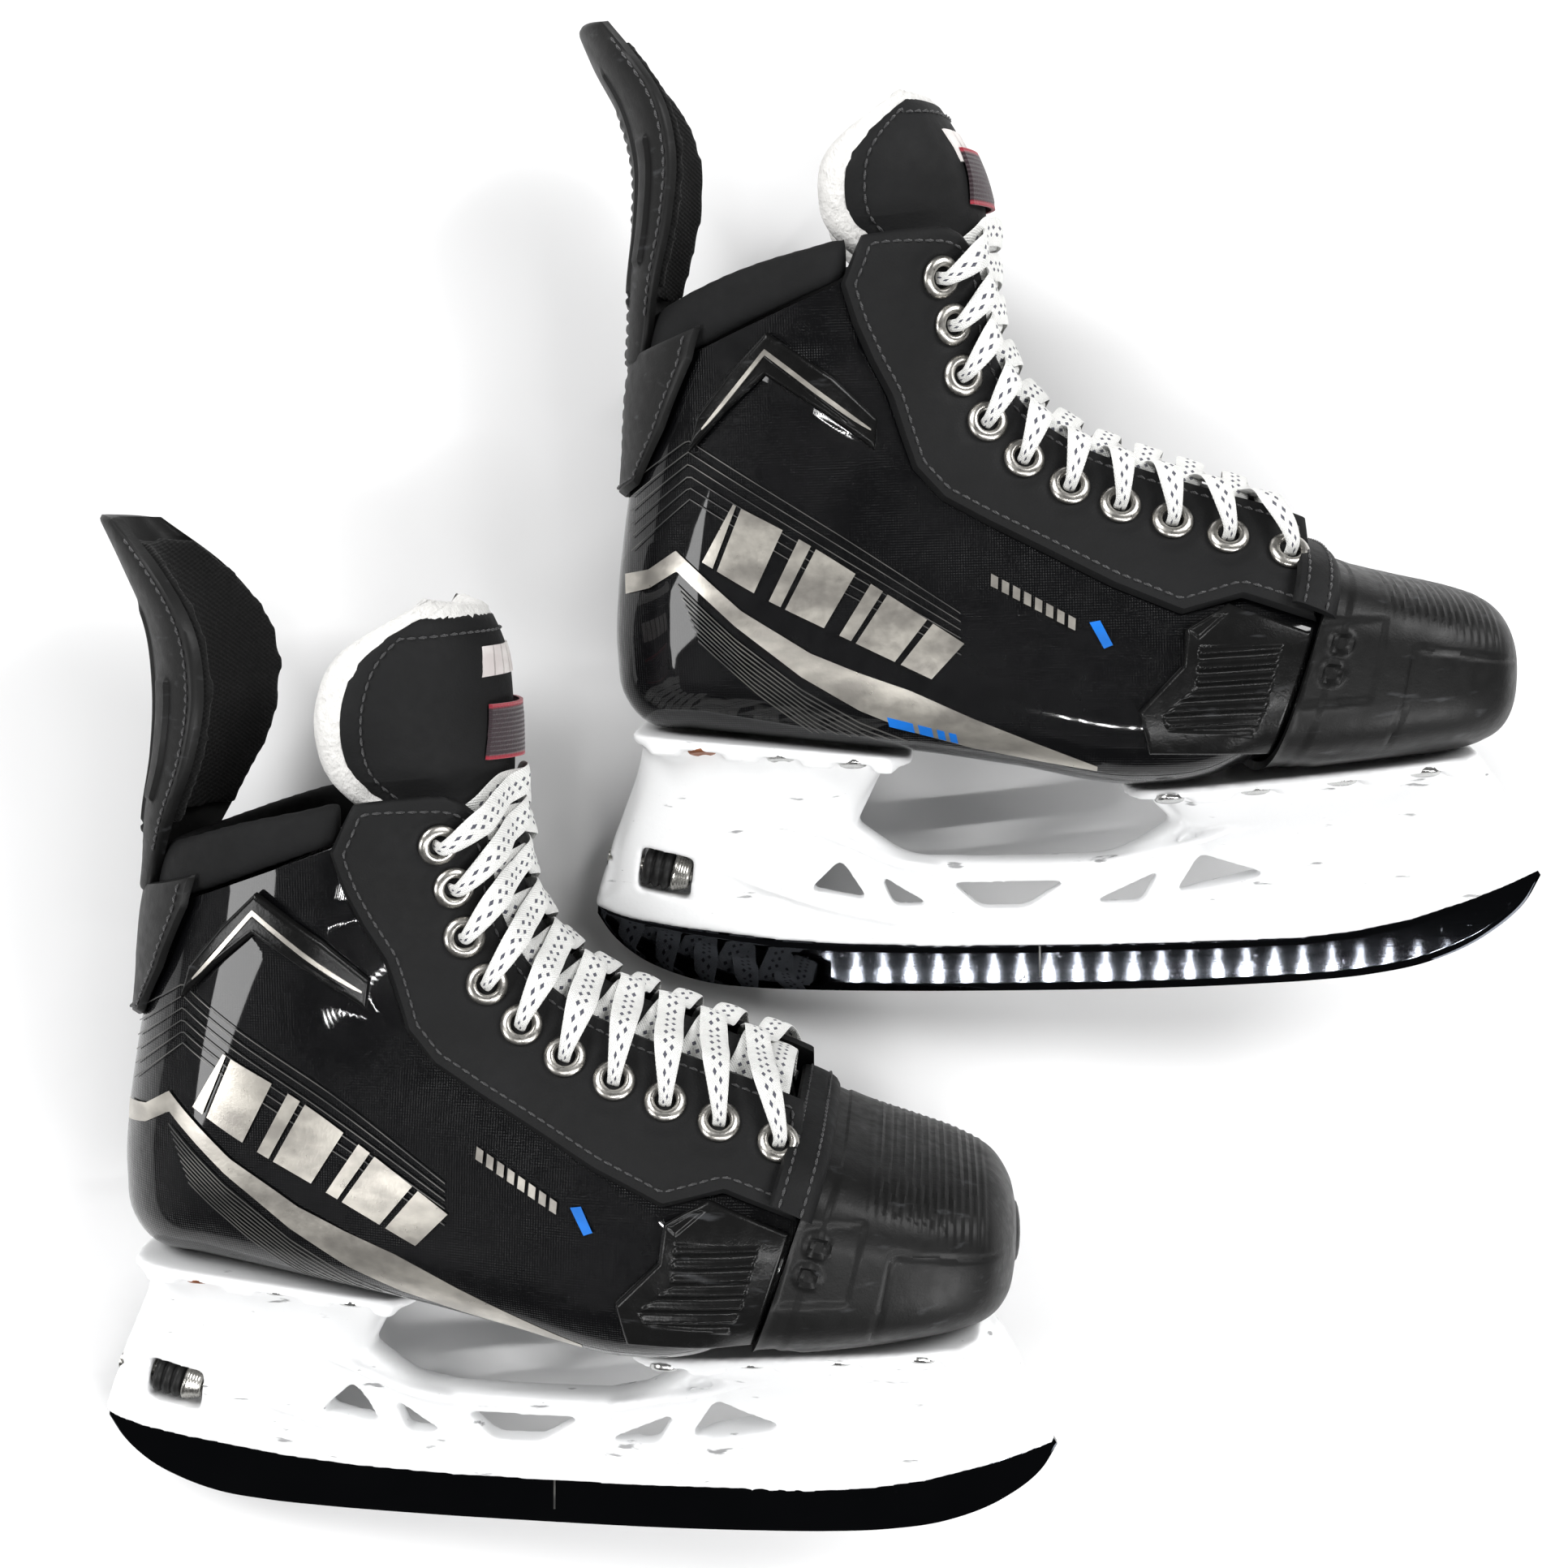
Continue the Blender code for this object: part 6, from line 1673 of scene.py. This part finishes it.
def make_skate(foot):
    skate = Skate(foot)
    make_shell(skate)
    make_insole(skate)
    make_toe_cap(skate)
    make_toe_band(skate)
    for side in (LATERAL, MEDIAL):
        make_facing(skate, side)
        make_panels(skate, side)
        make_graphics(skate, side)
    make_collar(skate)
    make_tongue(skate)
    make_lace(skate)
    make_tendon_guard(skate)
    make_anchor(skate)
    make_holder(skate)
    make_runner(skate)
    make_lock(skate)
    return skate


SKATES = {foot: make_skate(foot) for foot in LAID}

# ---------------------------------------------------------------- floor, light and camera


def make_floor():
    half, count = 3.0, 9
    line = np.linspace(-half, half, count)
    faces = quads(np.arange(count * count).reshape(count, count))[:, ::-1]
    data = bpy.data.meshes.new("floor")
    data.from_pydata([(x, y, 0.0) for y in line for x in line], [], [tuple(f) for f in faces.tolist()])
    floor = added("floor", data)
    data.materials.append(floor_white())


def make_light(name, size, power, shape="RECTANGLE"):
    data = bpy.data.lights.new(name, "AREA")
    data.shape, data.size, data.size_y = shape, size[0], size[1]
    data.energy = power
    return added(name, data)


def make_glints(camera):
    """Rows of narrow lights that the upper runner mirrors towards the camera."""
    left = SKATES["left"]
    eye = np.array(camera.location)
    up = unit((left.place([(137, MEDIAL * 10, 8)]) - left.place([(137, 0, 8)]))[0])
    up = up * np.sign(up[2])
    for x, (z_low, z_high, share, power) in itertools.product(np.arange(*GLINT_SPAN), GLINT_BANDS):
        ends = []
        for p in left.place([(x, 0, z_low), (x, 0, z_high)]):
            view = p - eye
            bounced = view - 2 * (view @ up) * up
            ends.append(p + bounced / bounced[2] * (GLINT_HEIGHT - p[2]))
        middle, along = (ends[0] + ends[1]) / 2, ends[1] - ends[0]
        size = (GLINT_WIDTH * share, float(np.linalg.norm(along)))
        light = make_light("glint", size, power, "ELLIPSE")
        back = Vector(middle - left.place([(x, 0, 5.0)])[0]).normalized()
        upright = Vector(along).normalized()
        upright = (upright - upright.dot(back) * back).normalized()
        turned = Matrix((upright.cross(back), upright, back)).transposed()
        light.matrix_world = Matrix.Translation(Vector(middle)) @ turned.to_4x4()


def make_camera():
    middle = SKATES["left"].place([RUNNER_MIDDLE])[0]
    data = bpy.data.cameras.new("camera")
    data.lens, data.sensor_width = CAMERA_LENS, 36.0
    camera = added("camera", data)
    camera.location = (*(middle[k] + CAMERA_FROM_RUNNER[k] * MM for k in (0, 1)), CAMERA_HEIGHT)
    camera.rotation_euler = (math.radians(CAMERA_TILT[0]), math.radians(CAMERA_TILT[1]), 0)
    bpy.context.scene.camera = camera
    return camera


make_floor()
for name, (place, target, size, power) in LIGHTS.items():
    lamp = make_light(name, size, power)
    lamp.location = place
    lamp.rotation_euler = (Vector(target) - Vector(place)).to_track_quat("-Z", "Y").to_euler()
world = bpy.data.worlds.new("studio")
world.use_nodes = True
background = world.node_tree.nodes["Background"].inputs
background["Color"].default_value = (1, 1, 1, 1)
background["Strength"].default_value = WORLD_STRENGTH
bpy.context.scene.world = world
bpy.context.scene.view_settings.view_transform = "Standard"
bpy.context.view_layer.update()
make_glints(make_camera())
